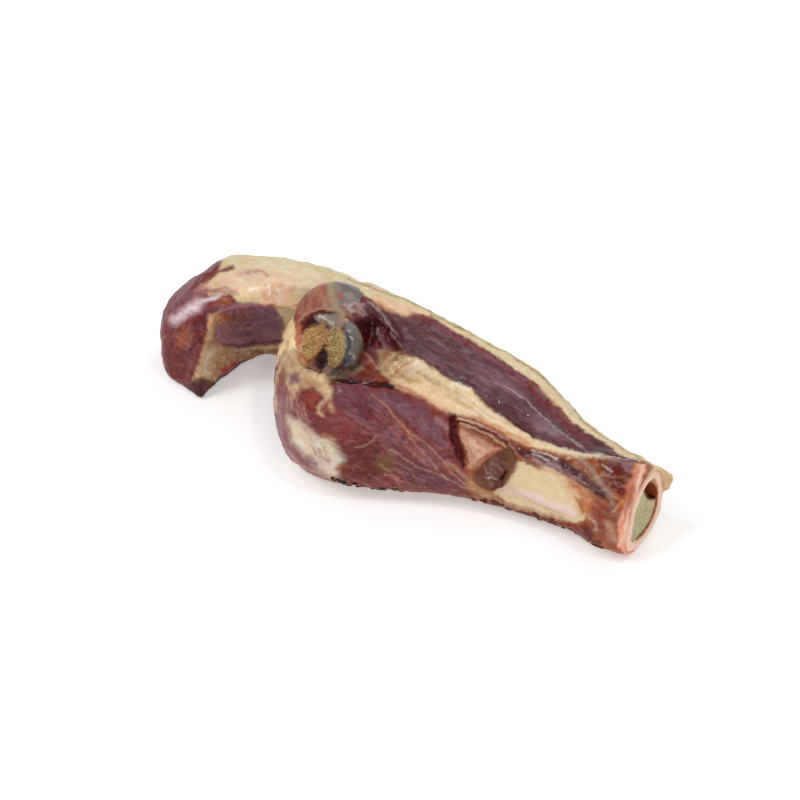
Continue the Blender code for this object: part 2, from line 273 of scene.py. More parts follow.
FLAP_MARKS = (
    area("hood", Tone.HOOD, (140, 313), (150, 290), (195, 262), (209, 294.5), (213, 310), (207, 321),
         (206, 334.5), (202.6, 350), (196, 369), (190, 382), (180, 400), (140, 380)),
    *bundle("hood fibre dark", Tone.HOOD_DARK, ((180, 298), (158, 350)), ((208, 318), (186, 382)), 18, 31),
    *bundle("hood fibre pale", Tone.LEAN_PINK, ((176, 300), (158, 352)), ((206, 322), (188, 380)), 16, 32),
    area("hood lower", Tone.BROWN_RED, (150, 350), (173, 352), (194, 350), (193, 372), (176, 372),
         (150, 378), soft=6, strength=0.6),
    area("hood upper mauve", Tone.LEAN_MAUVE, (178, 292), (200, 280), (206, 292), (190, 302),
         (170, 308), soft=6, strength=0.6),
    line("hood sheen", Tone.HOOD_SHEEN, 4.5, (174, 320), (186, 312), (199, 304), soft=8, strength=0.95),
    line("hood sheen end", Tone.HOOD_SHEEN, 1.8, (200, 303), (213, 298.5), (224, 295), soft=3,
         strength=0.8),
    area("hood rust", Tone.RUST, (173, 334.5), (192, 327), (190, 345), (179.5, 350), soft=7,
         strength=0.75),
    line("hood dark corner", Tone.HOOD_DARK, 4.0, (196, 327), (206, 319), (215, 313), soft=5,
         strength=0.85),
    line("hood crease", Tone.HOOD_DARK, 0.8, (189, 351), (197, 343), (205, 334.5), lift=-0.3),
    line("hood crease low", Tone.HOOD_DARK, 0.7, (192, 354), (199, 347), (205, 340), strength=0.7,
         lift=-0.2),
    line("hood pale edge", Tone.TAN, 1.2, (158.4, 338), (160, 352), (164, 365), strength=0.7),
    area("roof fat", Tone.FAT_YELLOW, (228, 240), (352, 240), (352, 290), (318, 300), (300, 308),
         (276, 307), (262, 303), (245, 302.5), (237, 302), (232, 293), (209, 295), (206, 287),
         (214, 277), (222, 262), soft=3, lift=0.2),
    area("roof cream front", Tone.CREAM, (236, 286), (262, 283), (300, 286), (300, 304), (276, 306),
         (245, 302), soft=5, strength=0.8),
    line("roof pale band", Tone.FAT_PALE, 4.0, (250, 266), (270, 264), (300, 272), (320, 280), soft=6,
         strength=0.5),
    line("roof dark streak", Tone.LEAN_RED, 2.4, (192, 287), (205, 279.5), (218, 272.5), (232, 267.5),
         soft=2.5, strength=0.9),
    line("roof mauve streak", Tone.FAT_PINK, 1.8, (236, 275.5), (250, 272.4), (266, 274.5), soft=3,
         strength=0.9),
    line("roof mauve core", Tone.LEAN_PINK, 1.3, (240, 275), (251, 272.4), (266, 274.5), soft=3,
         strength=0.75),
    area("roof pink start", Tone.FAT_PINK, (196, 291), (208, 282), (226, 277), (238, 277), (236, 285),
         (214, 289), (202, 294), soft=9, strength=0.55),
    area("roof orange top", Tone.ORANGE, (261, 286), (275, 283), (291, 285), (289, 291), (274, 288),
         (265, 293), soft=4, strength=0.4),
    line("roof pink band", Tone.FAT_PINK, 3.0, (203, 287), (224, 281), (244, 277), (262, 279), soft=5,
         strength=0.6),
    line("roof red band", Tone.LEAN_PINK, 2.6, (195, 295), (207, 291), (224, 289.5), (236, 291.5),
         soft=3, strength=0.8),
    *bundle("roof streak pale", Tone.FAT_WHITE, ((215, 292), (320, 284)), ((225, 262), (330, 266)), 16, 33,
            half_width=0.9, strength=0.35),
    *bundle("roof streak pink", Tone.ROSE, ((205, 294), (300, 290)), ((222, 274), (300, 272)), 14, 34,
            half_width=0.8, strength=0.4),
    area("roof orange", Tone.ROSE, (262, 287), (290, 286), (290, 299), (282, 304), (262, 303), soft=4,
         strength=0.85),
    line("roof orange edge", Tone.ORANGE, 1.2, (262, 303.5), (276, 306), (288, 307.5), (298, 306),
         soft=2, strength=0.8, lift=0.2),
    line("roof glint left", Tone.WHITE_GLINT, 1.1, (269.5, 286), (271, 296), soft=2.2, strength=1.0, lift=0.5),
    line("roof glint low", Tone.WHITE_GLINT, 0.9, (274, 296), (281, 301.5), soft=2, strength=0.9, lift=0.3),
    line("roof glint front", Tone.WHITE_GLINT, 1.6, (249, 289.5), (257, 288.5), soft=2.6, strength=1.0,
         lift=0.3),
    line("roof pink fold", Tone.ORANGE, 1.0, (264, 290), (268, 300), soft=3, strength=0.25, lift=-0.3),
    line("roof pink fold two", Tone.ORANGE, 1.0, (275, 287), (283, 300), soft=3, strength=0.25, lift=-0.3),
    line("roof glint right", Tone.WHITE_GLINT, 0.9, (277, 288), (281, 299), soft=2, strength=0.85),
    area("roof rust corner", Tone.RUST, (209, 305), (224, 295), (236, 298), (235, 303), (224, 308),
         soft=2.5, strength=0.9, lift=0.3),
    line("roof rust glints", Tone.FASCIA, 0.8, (223, 295), (226, 294), (233, 293.5), strength=0.8),
    area("wall", Tone.WALL, (218, 311), (234, 304), (251, 302.4), (275, 306), (281.6, 324),
         (288, 339), (281, 344), (255, 344), (234, 347), (221, 346), (214, 341), (215, 327), soft=2),
    area("wall mauve left", Tone.WALL_BROWN, (222, 318), (240, 309), (250, 312), (246, 322),
         (226, 334), soft=6, strength=0.7),
    area("wall mauve right", Tone.SLAB_PALE_AND_SHEEN, (256, 309), (275, 309), (281, 330), (266, 334),
         (252, 322), soft=8, strength=0.7),
    line("wall olive", Tone.OLIVE, 2.2, (230, 334), (243, 331), (256, 335), soft=4, strength=0.55),
    *bundle("wall fibre", Tone.SLAB_PURPLE, ((224, 318), (280, 312)), ((222, 342), (284, 336)), 16, 35,
            half_width=0.7),
    line("wall dark top", Tone.HOOD_DARK, 1.0, (219, 312), (226, 317), (236, 319), strength=0.7),
    line("wall dark foot", Tone.HOOD_DARK, 1.2, (222, 345), (240, 345), (262, 342.5), (286, 340),
         soft=2.5, strength=0.8, lift=-0.3),
    area("rim", Tone.TAN, (213, 314), (219, 313), (226, 320), (215, 328), (214, 340), (222, 346),
         (238, 348), (282, 344), (282, 357), (240, 361), (222, 371), (216, 381), (190, 384),
         (196.5, 369), (202.6, 350), (206, 335.5), (208, 322), soft=2, lift=0.2),
    area("rim pale", Tone.CREAM, (204, 350), (214, 346), (222, 350), (214, 362), (209, 378),
         (198, 378), soft=5, strength=0.25),
    line("rim peach", Tone.PEACH, 1.6, (210, 316), (210, 330), (206, 344), (203, 354), soft=4,
         strength=0.5),
    line("rim cream", Tone.FAT_WHITE, 2.4, (208, 374), (203, 370), (207, 356), (213, 350), soft=4,
         strength=0.6),
    line("rim foot cream", Tone.CREAM, 1.6, (240, 351), (258, 348.5), (278, 347.5), soft=2.5,
         strength=0.8),
    line("rim foot red", Tone.RUST, 1.0, (232, 353), (246, 350.5), (262, 352), strength=0.6),
    area("rim amber", Tone.ORANGE, (215, 313), (220, 312), (233, 320), (220, 323), soft=3,
         strength=0.6),
    line("rim red bit", Tone.CRIMSON, 2.2, (221.6, 371), (228, 365.5), (236, 360), soft=2.5,
         strength=0.95, lift=1.0),
    area("tip", Tone.TIP, (187, 384), (196, 378.7), (213, 380), (218, 385), (214, 396),
         (203, 408), (190, 396), soft=2, strength=0.9),
    area("cream cheek", Tone.CHEEK, (276, 307), (302, 307), (297, 330), (292, 345), (280, 360),
         (272, 372), (281, 345), (288, 338), (282, 323), soft=2.5),
    line("cheek orange", Tone.ORANGE, 1.3, (298, 306), (296, 325), (293, 345), soft=3, strength=0.7),
    line("cheek rust", Tone.RUST, 1.0, (281, 318), (284, 328), (288, 337), soft=2, strength=0.8),
)

SLAB_MARKS = (
    area("fat edge", Tone.FAT_YELLOW, (320, 262), (348, 274), (400, 290), (440, 308), (500, 340),
         (560, 385), (600, 430), (650, 458), (640, 462), (620, 455), (596, 438), (579, 428),
         (553, 404), (536, 384.5), (516.6, 371.2), (495, 356.5), (453.6, 331.8), (434, 319),
         (420, 314.5), (410, 318), (395, 313), (376, 302), (345, 285), soft=1.6, lift=0.3),
    line("fat edge peach", Tone.PEACH, 3.0, (376, 299), (395, 308), (413, 312), soft=5, strength=0.8),
    line("fat edge orange", Tone.AMBER, 1.4, (378, 303), (395, 313), (410, 317), soft=2.5,
         strength=0.8),
    line("skin line", Tone.RIND_EDGE, 0.7, (349, 280), (370, 288.5), (404, 299), (432, 313.5),
         (463, 329.5), (486, 343), (514, 358.5), (540, 375.5), (557, 392), (570, 406.5),
         (585, 423.5), (607, 440), (631, 454.5), (650, 464.5), soft=1.5, strength=0.8),
    area("slab", Tone.SLAB, (384, 310), (410, 318), (420, 314.5), (434, 319), (453.6, 331.8),
         (495, 356.5), (516.6, 371.2), (536, 384.5), (553, 404), (579, 428), (596, 438), (620, 455),
         (645, 464), (600, 458), (559, 447.5), (539, 441), (522.6, 431), (496, 412.7), (478, 397),
         (453, 383), (429.8, 373), (412, 360), (402, 345), (392, 326), soft=1.6),
    area("slab grey", Tone.SLAB_DARK, (400, 320), (440, 335), (470, 360), (480, 385), (450, 378),
         (420, 360), (405, 340), soft=14, strength=0.45),
    area("slab purple", Tone.SLAB_PURPLE, (462, 350), (505, 370), (520, 392), (500, 392), (478, 375),
         soft=10, strength=0.7),
    *bundle("slab fibre dark", Tone.SLAB_DARK, ((400, 318), (596, 440)), ((408, 352), (560, 446)), 26, 41,
            strength=0.5),
    *bundle("slab fibre pale", Tone.SLAB_PALE_AND_SHEEN, ((410, 322), (580, 430)), ((412, 352), (540, 434)), 26, 42,
            strength=0.3),
    *bundle("slab fibre red", Tone.SLAB_RED, ((410, 318), (596, 438)), ((430, 340), (560, 430)), 12, 43,
            half_width=0.7, strength=0.35),
    # Painted sheen: the bluish glossy patch on the slab.
    area("slab sheen patch", Tone.SLAB_PALE_AND_SHEEN, (474, 366), (505, 374), (526, 396), (505, 402), (482, 384), soft=12,
         strength=0.6),
    area("slab low", Tone.SLAB_DARK, (490, 382), (524, 400), (545, 425), (575, 446), (600, 456),
         (559, 446), (520, 428), (494, 408), soft=4, strength=0.6),
    line("slab red band", Tone.SLAB_RED, 3.0, (412.5, 317), (435, 321.5), (455, 335), (482, 352),
         (498, 362.5), (518, 377), (529, 387.5), (545, 404.5), (569, 428), (589, 441), soft=3.4,
         strength=0.85),
    line("slab orange edge", Tone.RUST, 1.3, (529, 382), (540, 389), (550, 400), (562, 414),
         (574, 425), soft=2.5, strength=0.9),
    line("slab orange start", Tone.RUST, 1.0, (408, 317), (420, 314.5), (434, 318.5), soft=2,
         strength=0.7),
    line("slab fascia shade", Tone.SHADOW, 0.8, (511, 391), (525, 400.5), (538, 415), (562, 434.5),
         (587, 453), soft=1.8, strength=0.5, lift=-0.25),
    line("slab fascia", Tone.SILVER, 0.6, (489.5, 379.5), (509, 388), (524, 398), (537.5, 412.7),
         (562, 432.6), (587, 451), (612, 457.5), (640, 460), soft=1.2, strength=0.8, lift=0.15),
    # Painted sheen on the lower slab: a pale streak and a patch around it.
    line("slab sheen streak", Tone.SILVER, 2.0, (537, 427), (546, 430), (555, 433), soft=5, strength=0.55),
    area("slab low sheen patch", Tone.SLAB_PALE_AND_SHEEN, (526, 412), (545, 420), (572, 440), (560, 442), (536, 432), soft=8,
         strength=0.65),
    line("crest shadow", Tone.SHADOW, 1.2, (476, 394.5), (496, 411), (517.6, 427), (534, 436.5),
         soft=1.8, strength=0.95, lift=-0.9),
    line("crest shadow red", Tone.SLAB_RED, 1.2, (488, 402), (505, 413), (523, 427), soft=2.2,
         strength=0.5),
)

CREST_MARKS = (
    area("crest", Tone.CREAM, (386, 356), (393, 353), (401, 355), (408, 357), (422, 362), (440, 374),
         (453, 382), (470, 389), (480, 399), (496, 413), (517, 429), (539, 441), (559, 447.5), (579, 454),
         (620, 458), (576, 457), (529, 447), (512.7, 440), (496, 427), (476, 418.5), (453, 413.5),
         (430, 400), (410, 390), (395, 384), (383, 374), (380, 366), soft=3.4, lift=0.7),
    line("crest core", Tone.FAT_PALE, 3.6, (425, 376), (450, 393), (478, 408), (500, 420), soft=6,
         strength=0.7, lift=0.3),
    # Painted highlight on the top of the crest.
    line("crest highlight", Tone.WHITE_GLINT, 1.6, (452, 383), (461, 386.5), (469, 390), soft=2.5, strength=0.8,
         lift=0.2),
    line("crest spur", Tone.FAT_WHITE, 1.5, (539, 441), (559, 448), (580, 454), (600, 457), soft=2,
         strength=0.8, lift=0.3),
    area("lumpy fat", Tone.FAT_YELLOW, (388, 358), (400, 356), (422, 361), (430, 375), (415, 384),
         (396, 380), (381, 366), soft=3, strength=0.8),
    area("lump olive one", Tone.FAT_OLIVE, (398, 354), (408, 355), (404, 363), (396, 362), soft=4,
         strength=0.6),
    area("lump olive two", Tone.FAT_OLIVE, (402, 372), (416, 373), (420, 381), (408, 380), soft=4,
         strength=0.6),
    area("lump olive three", Tone.FAT_OLIVE, (426, 376), (440, 380), (438, 387), (428, 384), soft=4,
         strength=0.45),
    line("lump groove one", Tone.RUST, 0.8, (379, 367), (389, 363), (398, 357), soft=2, strength=0.7,
         lift=-0.5),
    line("lump groove two", Tone.ORANGE, 0.9, (396, 368), (406, 365), (414, 361), soft=2.2,
         strength=0.7, lift=-0.6),
    # Painted highlight on the shiny lump of fat.
    line("lump highlight", Tone.WHITE_GLINT, 1.8, (411, 366), (417, 364.5), soft=3, strength=0.9, lift=0.5),
    line("lump pale", Tone.FAT_PALE, 2.0, (388, 371), (398, 366), (405, 361), soft=3.5, strength=0.6,
         lift=0.4),
    area("crest brown", Tone.TAN, (384, 360), (398, 357), (412, 364), (420, 376), (408, 383), (392, 378),
         soft=8, strength=0.72),
    area("crest olive", Tone.FAT_OLIVE, (436, 384), (452, 388), (462, 398), (448, 398), soft=5,
         strength=0.4),
    area("crest start", Tone.TAN, (376, 350), (388, 349), (402, 352), (405, 361), (398, 373), (384, 371),
         soft=6, strength=0.75),
    *bundle("crest start streak", Tone.RUST, ((378, 352), (384, 372)), ((400, 352), (404, 366)), 8, 47,
            half_width=0.7, strength=0.45, lift=-0.2),
    *bundle("crest start pale", Tone.CREAM, ((380, 366), (396, 352)), ((390, 378), (408, 360)), 7, 48,
            half_width=0.9, strength=0.6, lift=0.3),
    line("lump streak one", Tone.TAN, 1.0, (378, 369), (383, 361), (389, 356), soft=2.4, strength=0.7,
         lift=-0.5),
    line("lump streak two", Tone.OLIVE, 0.8, (386, 372), (391, 364), (397, 357), soft=2.4, strength=0.5,
         lift=-0.5),
    line("lump streak three", Tone.TAN, 1.1, (392, 376), (400, 369), (407, 361), soft=2.6, strength=0.7,
         lift=-0.5),
    line("lump streak four", Tone.RUST, 0.7, (400, 378), (408, 371), (418, 367), soft=2.2, strength=0.5,
         lift=-0.4),
    *bundle("crest streak peach", Tone.PEACH, ((400, 358), (530, 440)), ((396, 382), (515, 438)), 14, 44,
            half_width=0.8, strength=0.45),
    *bundle("crest streak pale", Tone.FAT_PALE, ((410, 362), (540, 442)), ((402, 380), (520, 438)), 14, 45,
            half_width=0.8, strength=0.5, lift=0.1),
    *bundle("crest streak olive", Tone.FAT_OLIVE, ((404, 360), (520, 432)), ((400, 374), (500, 424)), 8, 46,
            half_width=0.9, strength=0.35),
    area("lump shade one", Tone.OLIVE, (383, 370), (390, 373), (399, 379), (392, 380), (384, 376), soft=3.5,
         strength=0.45, lift=-0.3),
    area("lump shade two", Tone.FAT_OLIVE, (403, 373), (417, 377), (424, 383), (412, 384), (404, 380),
         soft=4, strength=0.75, lift=-0.3),
    area("lump hill", Tone.FAT_PALE, (407, 366), (418, 363), (424, 368), (414, 372), soft=4, strength=0.6,
         lift=0.8),
    line("lump rim shade", Tone.OLIVE, 0.9, (398, 360), (403, 357), (408, 357), soft=2.5, strength=0.55,
         lift=-0.3),
    line("lump hollow", Tone.TAN, 1.6, (420, 373), (428, 379), (438, 383), soft=4, strength=0.55, lift=-0.3),
    line("crest pink foot", Tone.PEACH, 2.2, (398, 386), (418, 393), (436, 404), (450, 413), soft=4,
         strength=0.8),
    line("crest rust foot", Tone.RUST, 1.0, (381, 376), (400, 385), (420, 396), (438, 408), soft=2.2,
         strength=0.6),
    line("crest amber", Tone.AMBER, 1.6, (478, 417), (496, 426), (514, 437), (530, 445), soft=3,
         strength=0.85),
    line("crest rust", Tone.RUST, 1.4, (474, 420), (492, 428.5), (510, 440), (528, 449), (545, 452),
         soft=2.5, strength=0.85, lift=-0.2),
)

DOME_MARKS = (
    area("dome", Tone.DOME_GREY, (290, 335), (296, 300), (313, 270), (357, 270), (382, 296),
         (376, 303), (366, 303), (350, 320), (336, 312), (324, 309), (311, 313), (303, 322),
         (300, 345), (290, 360), soft=2),
    area("dome red", Tone.DOME_RED, (290, 335), (296, 300), (313, 276), (329, 276), (328, 294),
         (330, 305), (322, 309), (311, 312), (303, 322), (298, 345), (288, 350), soft=9),
    line("dome dark edge", Tone.DOME_DARK, 4.0, (297, 326), (300, 312), (306, 298), (314, 287), soft=6,
         strength=0.45),
    *bundle("dome streak", Tone.DOME_BEIGE, ((308, 288), (300, 316)), ((332, 284), (332, 306)), 14, 53,
            half_width=1.2, strength=0.22),
    *bundle("dome streak dark", Tone.DOME_DARK, ((306, 290), (300, 318)), ((334, 284), (334, 308)), 14, 56,
            half_width=1.0, strength=0.28),
    *bundle("dome cloud", Tone.DOME_BLUE, ((334, 284), (340, 306)), ((372, 296), (360, 304)), 14, 57,
            half_width=1.3, strength=0.4),
    *bundle("dome cloud pale", Tone.GREY_TISSUE, ((334, 284), (344, 304)), ((372, 294), (364, 304)), 12, 58,
            half_width=1.0, strength=0.4),
    line("dome beige", Tone.DOME_BEIGE, 3.4, (331, 288), (332, 298), (336, 308), (343, 317), soft=7,
         strength=0.85),
    area("dome blue top", Tone.DOME_BLUE, (334, 280), (360, 281), (374, 296), (360, 296), (344, 291),
         soft=6, strength=0.7),
    area("dome spot", Tone.DOME_RED, (338.6, 293), (344, 294), (344, 299.5), (338.6, 299.5), soft=2.5,
         strength=0.8),
)

KNUCKLE_MARKS = (
    area("knuckle shade", Tone.LEAN_PURPLE, (366, 303), (376, 300), (392, 312), (398, 326),
         (408, 348), (400, 356), (386, 352), (372, 350), (360, 342), (354, 326), (352, 316), soft=3),
    *bundle("shade strand", Tone.SILVER, ((368, 304), (402, 346)), ((378, 302), (410, 348)), 6, 51,
            strength=0.5, lift=0.2),
    *bundle("shade strand dark", Tone.HOOD_DARK, ((362, 306), (396, 350)), ((378, 302), (410, 348)), 8, 52,
            half_width=0.7, strength=0.5, lift=-0.2),
    area("pink flap", Tone.SILVER, (343, 305.5), (352, 303), (363, 303.6), (367, 310), (368, 316), (363, 319),
         (357, 314), (350, 314.5), soft=2.4, strength=0.75, lift=0.6),
    *bundle("pink flap streak", Tone.FASCIA, ((344, 307), (364, 318)), ((354, 303), (368, 312)), 7, 55,
            half_width=0.6, strength=0.5, lift=0.2),
    *bundle("pink flap shade", Tone.DOME_DARK, ((344, 307), (364, 318)), ((354, 303), (368, 312)), 7, 59,
            half_width=0.7, strength=0.45, lift=-0.1),
    line("pink flap foot", Tone.RUST, 1.0, (343, 308), (349, 314), (357, 316), (362, 320), soft=2,
         strength=0.7),
    area("recess", Tone.SHADOW, (300, 330), (303, 321), (311, 313.5), (324, 310.5), (337, 313),
         (340, 322), (326, 327), (312, 326), (303, 335), soft=3, lift=-0.8),
    line("arch red", Tone.BLOOD, 1.8, (300.5, 333), (304, 322), (311, 314.5), (321, 311), soft=3,
         strength=0.8),
    line("arch edge", Tone.FASCIA, 0.7, (300, 322), (306, 315), (314, 311), (324, 309.3), (334, 311),
         soft=1.6, strength=0.5, lift=0.3),
    area("grey tissue", Tone.GREY_TISSUE, (313, 317), (325, 313.5), (337, 314), (345, 321),
         (340, 330), (327, 324), (318, 322), soft=3, strength=0.85),
    line("tissue white", Tone.WHITE_GLINT, 0.7, (318, 316), (326, 320), (333, 323), soft=1.6, strength=0.6),
    area("sponge left", Tone.SPONGE_BROWN, (304, 331), (311, 326), (318, 325), (324, 336), (323, 348),
         (316.6, 357), (308, 364), (303, 354), (302.5, 340), soft=2.5, lift=0.3),
    area("sponge right", Tone.SPONGE_OLIVE, (327.6, 334), (333, 328), (340, 328), (345, 335),
         (346.5, 347), (343.8, 359), (336, 368), (328, 368), (327.6, 352), (324, 344), soft=2.5,
         lift=0.4),
    line("sponge left shade", Tone.RUST, 1.6, (322, 332), (322, 346), (316, 356), (308, 362), soft=4,
         strength=0.6),
    line("sponge left top", Tone.BLOOD, 1.6, (304, 330), (311, 325), (318, 325), soft=4, strength=0.5),
    line("sponge right shade", Tone.BROWN, 1.4, (327, 336), (326, 346), (329, 358), (331, 368), soft=4,
         strength=0.6),
    line("sponge yellow", Tone.FAT_OLIVE, 1.6, (339, 330), (343, 338), (344, 350), (340, 361), soft=3,
         strength=0.5),
    line("sponge join", Tone.SPONGE_BROWN, 3.0, (322, 327), (325, 336), (325, 344), soft=4,
         strength=0.85, lift=0.5),
    line("sponge join shade", Tone.BROWN_RED, 1.0, (323, 330), (326, 338), (325, 346), soft=3,
         strength=0.5),
    line("crevice", Tone.SHADOW, 1.0, (326, 346), (323, 352), (319, 358), (322, 366), (319, 377),
         soft=2.2, lift=-1.2),
    line("crevice branch", Tone.BROWN_RED, 0.9, (308, 362), (314, 360), (320, 352), soft=2.2,
         strength=0.8, lift=-0.5),
    area("crevice mouth", Tone.SHADOW, (316, 357), (324, 349), (329, 357), (327, 367), (318, 370),
         (312, 364), soft=3, strength=0.9, lift=-0.8),
    line("crevice rust", Tone.RUST, 1.0, (306, 362), (313, 365), (316, 371), soft=2.2, strength=0.8),
    area("knuckle left cream", Tone.CHEEK, (282, 330), (296.5, 322), (295.5, 340), (299, 354),
         (306, 368), (296, 366), (284, 352), soft=3, strength=0.95),
    line("sponge rim", Tone.ORANGE, 1.6, (300, 326), (299, 340), (301, 354), (306, 366), soft=3,
         strength=0.8, lift=0.3),
    line("sponge rim glint", Tone.RING_PALE, 0.8, (301, 346), (302, 352), soft=1.6, strength=0.8),
    area("gristle", Tone.GRISTLE, (345, 325), (351, 322), (357, 325), (362, 339), (359, 352),
         (353, 365), (345, 366), (346.5, 350), (345, 336), soft=2.5, lift=0.5),
    line("gristle dark", Tone.GRISTLE_DARK, 1.6, (347, 333), (348.5, 346), (347, 358), (341, 366),
         (331, 373.5), soft=2.5, strength=0.9, lift=-0.3),
    *bundle("gristle grain", Tone.GREY_RIM, ((349, 324), (348, 366)), ((358, 326), (358, 366)), 10, 54,
            half_width=0.5, strength=0.35, lift=0.2),
    line("gristle pale", Tone.GREY_RIM, 2.4, (356, 325), (359, 338), (360, 352), (357, 366), soft=4,
         strength=0.55),
    line("gristle glint top", Tone.WHITE_GLINT, 0.5, (349.5, 337), (351, 341), soft=1.4,
         strength=0.8, lift=0.3),
    line("gristle glint middle", Tone.WHITE_GLINT, 0.4, (348, 330), (350, 331), soft=1.4, strength=0.7,
         lift=0.2),
    line("gristle glint low", Tone.WHITE_GLINT, 0.5, (350, 354), (352.5, 357.5), soft=1.4,
         strength=0.8, lift=0.3),
    line("grey rim", Tone.GREY_RIM, 3.0, (326, 378), (340, 376), (354, 371.5), (363, 365), soft=3,
         strength=0.9, lift=0.5),
    line("red spot", Tone.BLOOD, 2.0, (347, 317), (350, 319), soft=2.5, strength=0.9, lift=-0.3),
    line("red spot glint", Tone.RING_PALE, 0.8, (346, 319), (347.5, 320), soft=1.6, strength=0.8),
    area("hollow left", Tone.HOOD_DARK, (354.6, 322), (378.5, 320), (385, 328), (376, 333),
         (386, 349), (376, 348), (365, 343), (360, 331), soft=3.5, lift=-1.6),
    area("hollow blood", Tone.BLOOD, (364, 335), (372, 336), (384, 349), (376, 348), (366, 342),
         soft=3.5, strength=0.7),
    area("hollow right", Tone.GASH, (380, 327), (389, 329.5), (401, 343.8), (402, 354), (391.5, 350),
         (385, 340), soft=2.5, strength=0.95, lift=-2.0),
    line("hollow strand", Tone.SILVER, 0.7, (388, 334), (394, 341), (398, 347), soft=1.6,
         strength=0.7),
    line("silver strand", Tone.SILVER, 0.9, (375.5, 330), (379.5, 339), (385, 347), soft=2,
         strength=0.8, lift=0.6),
    line("silver tendon", Tone.SILVER, 0.9, (367.6, 302.5), (378.5, 309), (389, 324), (400, 339.4),
         (408, 351), soft=1.6, strength=0.9, lift=0.6),
    line("silver tendon far", Tone.SILVER, 0.6, (386, 315), (398, 326.4), (406, 336), soft=1.4,
         strength=0.6, lift=0.3),
    line("tendon shade", Tone.HOOD_DARK, 1.2, (383, 312), (393, 324), (403, 338), soft=2.2,
         strength=0.5, lift=-0.3),
    area("strip", Tone.RUST, (354, 352), (366, 352), (380, 368), (402, 383), (398, 386), (376, 381),
         (360, 366), soft=2.5, strength=0.75, lift=0.4),
    line("strip dark", Tone.END_DARK, 2.0, (364, 364), (374, 374), (390, 381), soft=3, strength=0.7),
    line("strip pale", Tone.FASCIA, 0.7, (362, 351), (372, 360), (380, 370), soft=1.6, strength=0.7,
         lift=0.3),
    line("dark gap", Tone.SHADOW, 2.2, (328, 381), (345, 380.4), (360, 381), (372, 384.5), (386, 384),
         (402, 388), soft=2.2, strength=0.95, lift=-1.2),
    line("gap glint", Tone.FASCIA, 0.8, (363, 380.5), (367, 384), soft=1.6, strength=0.8, lift=0.4),
)

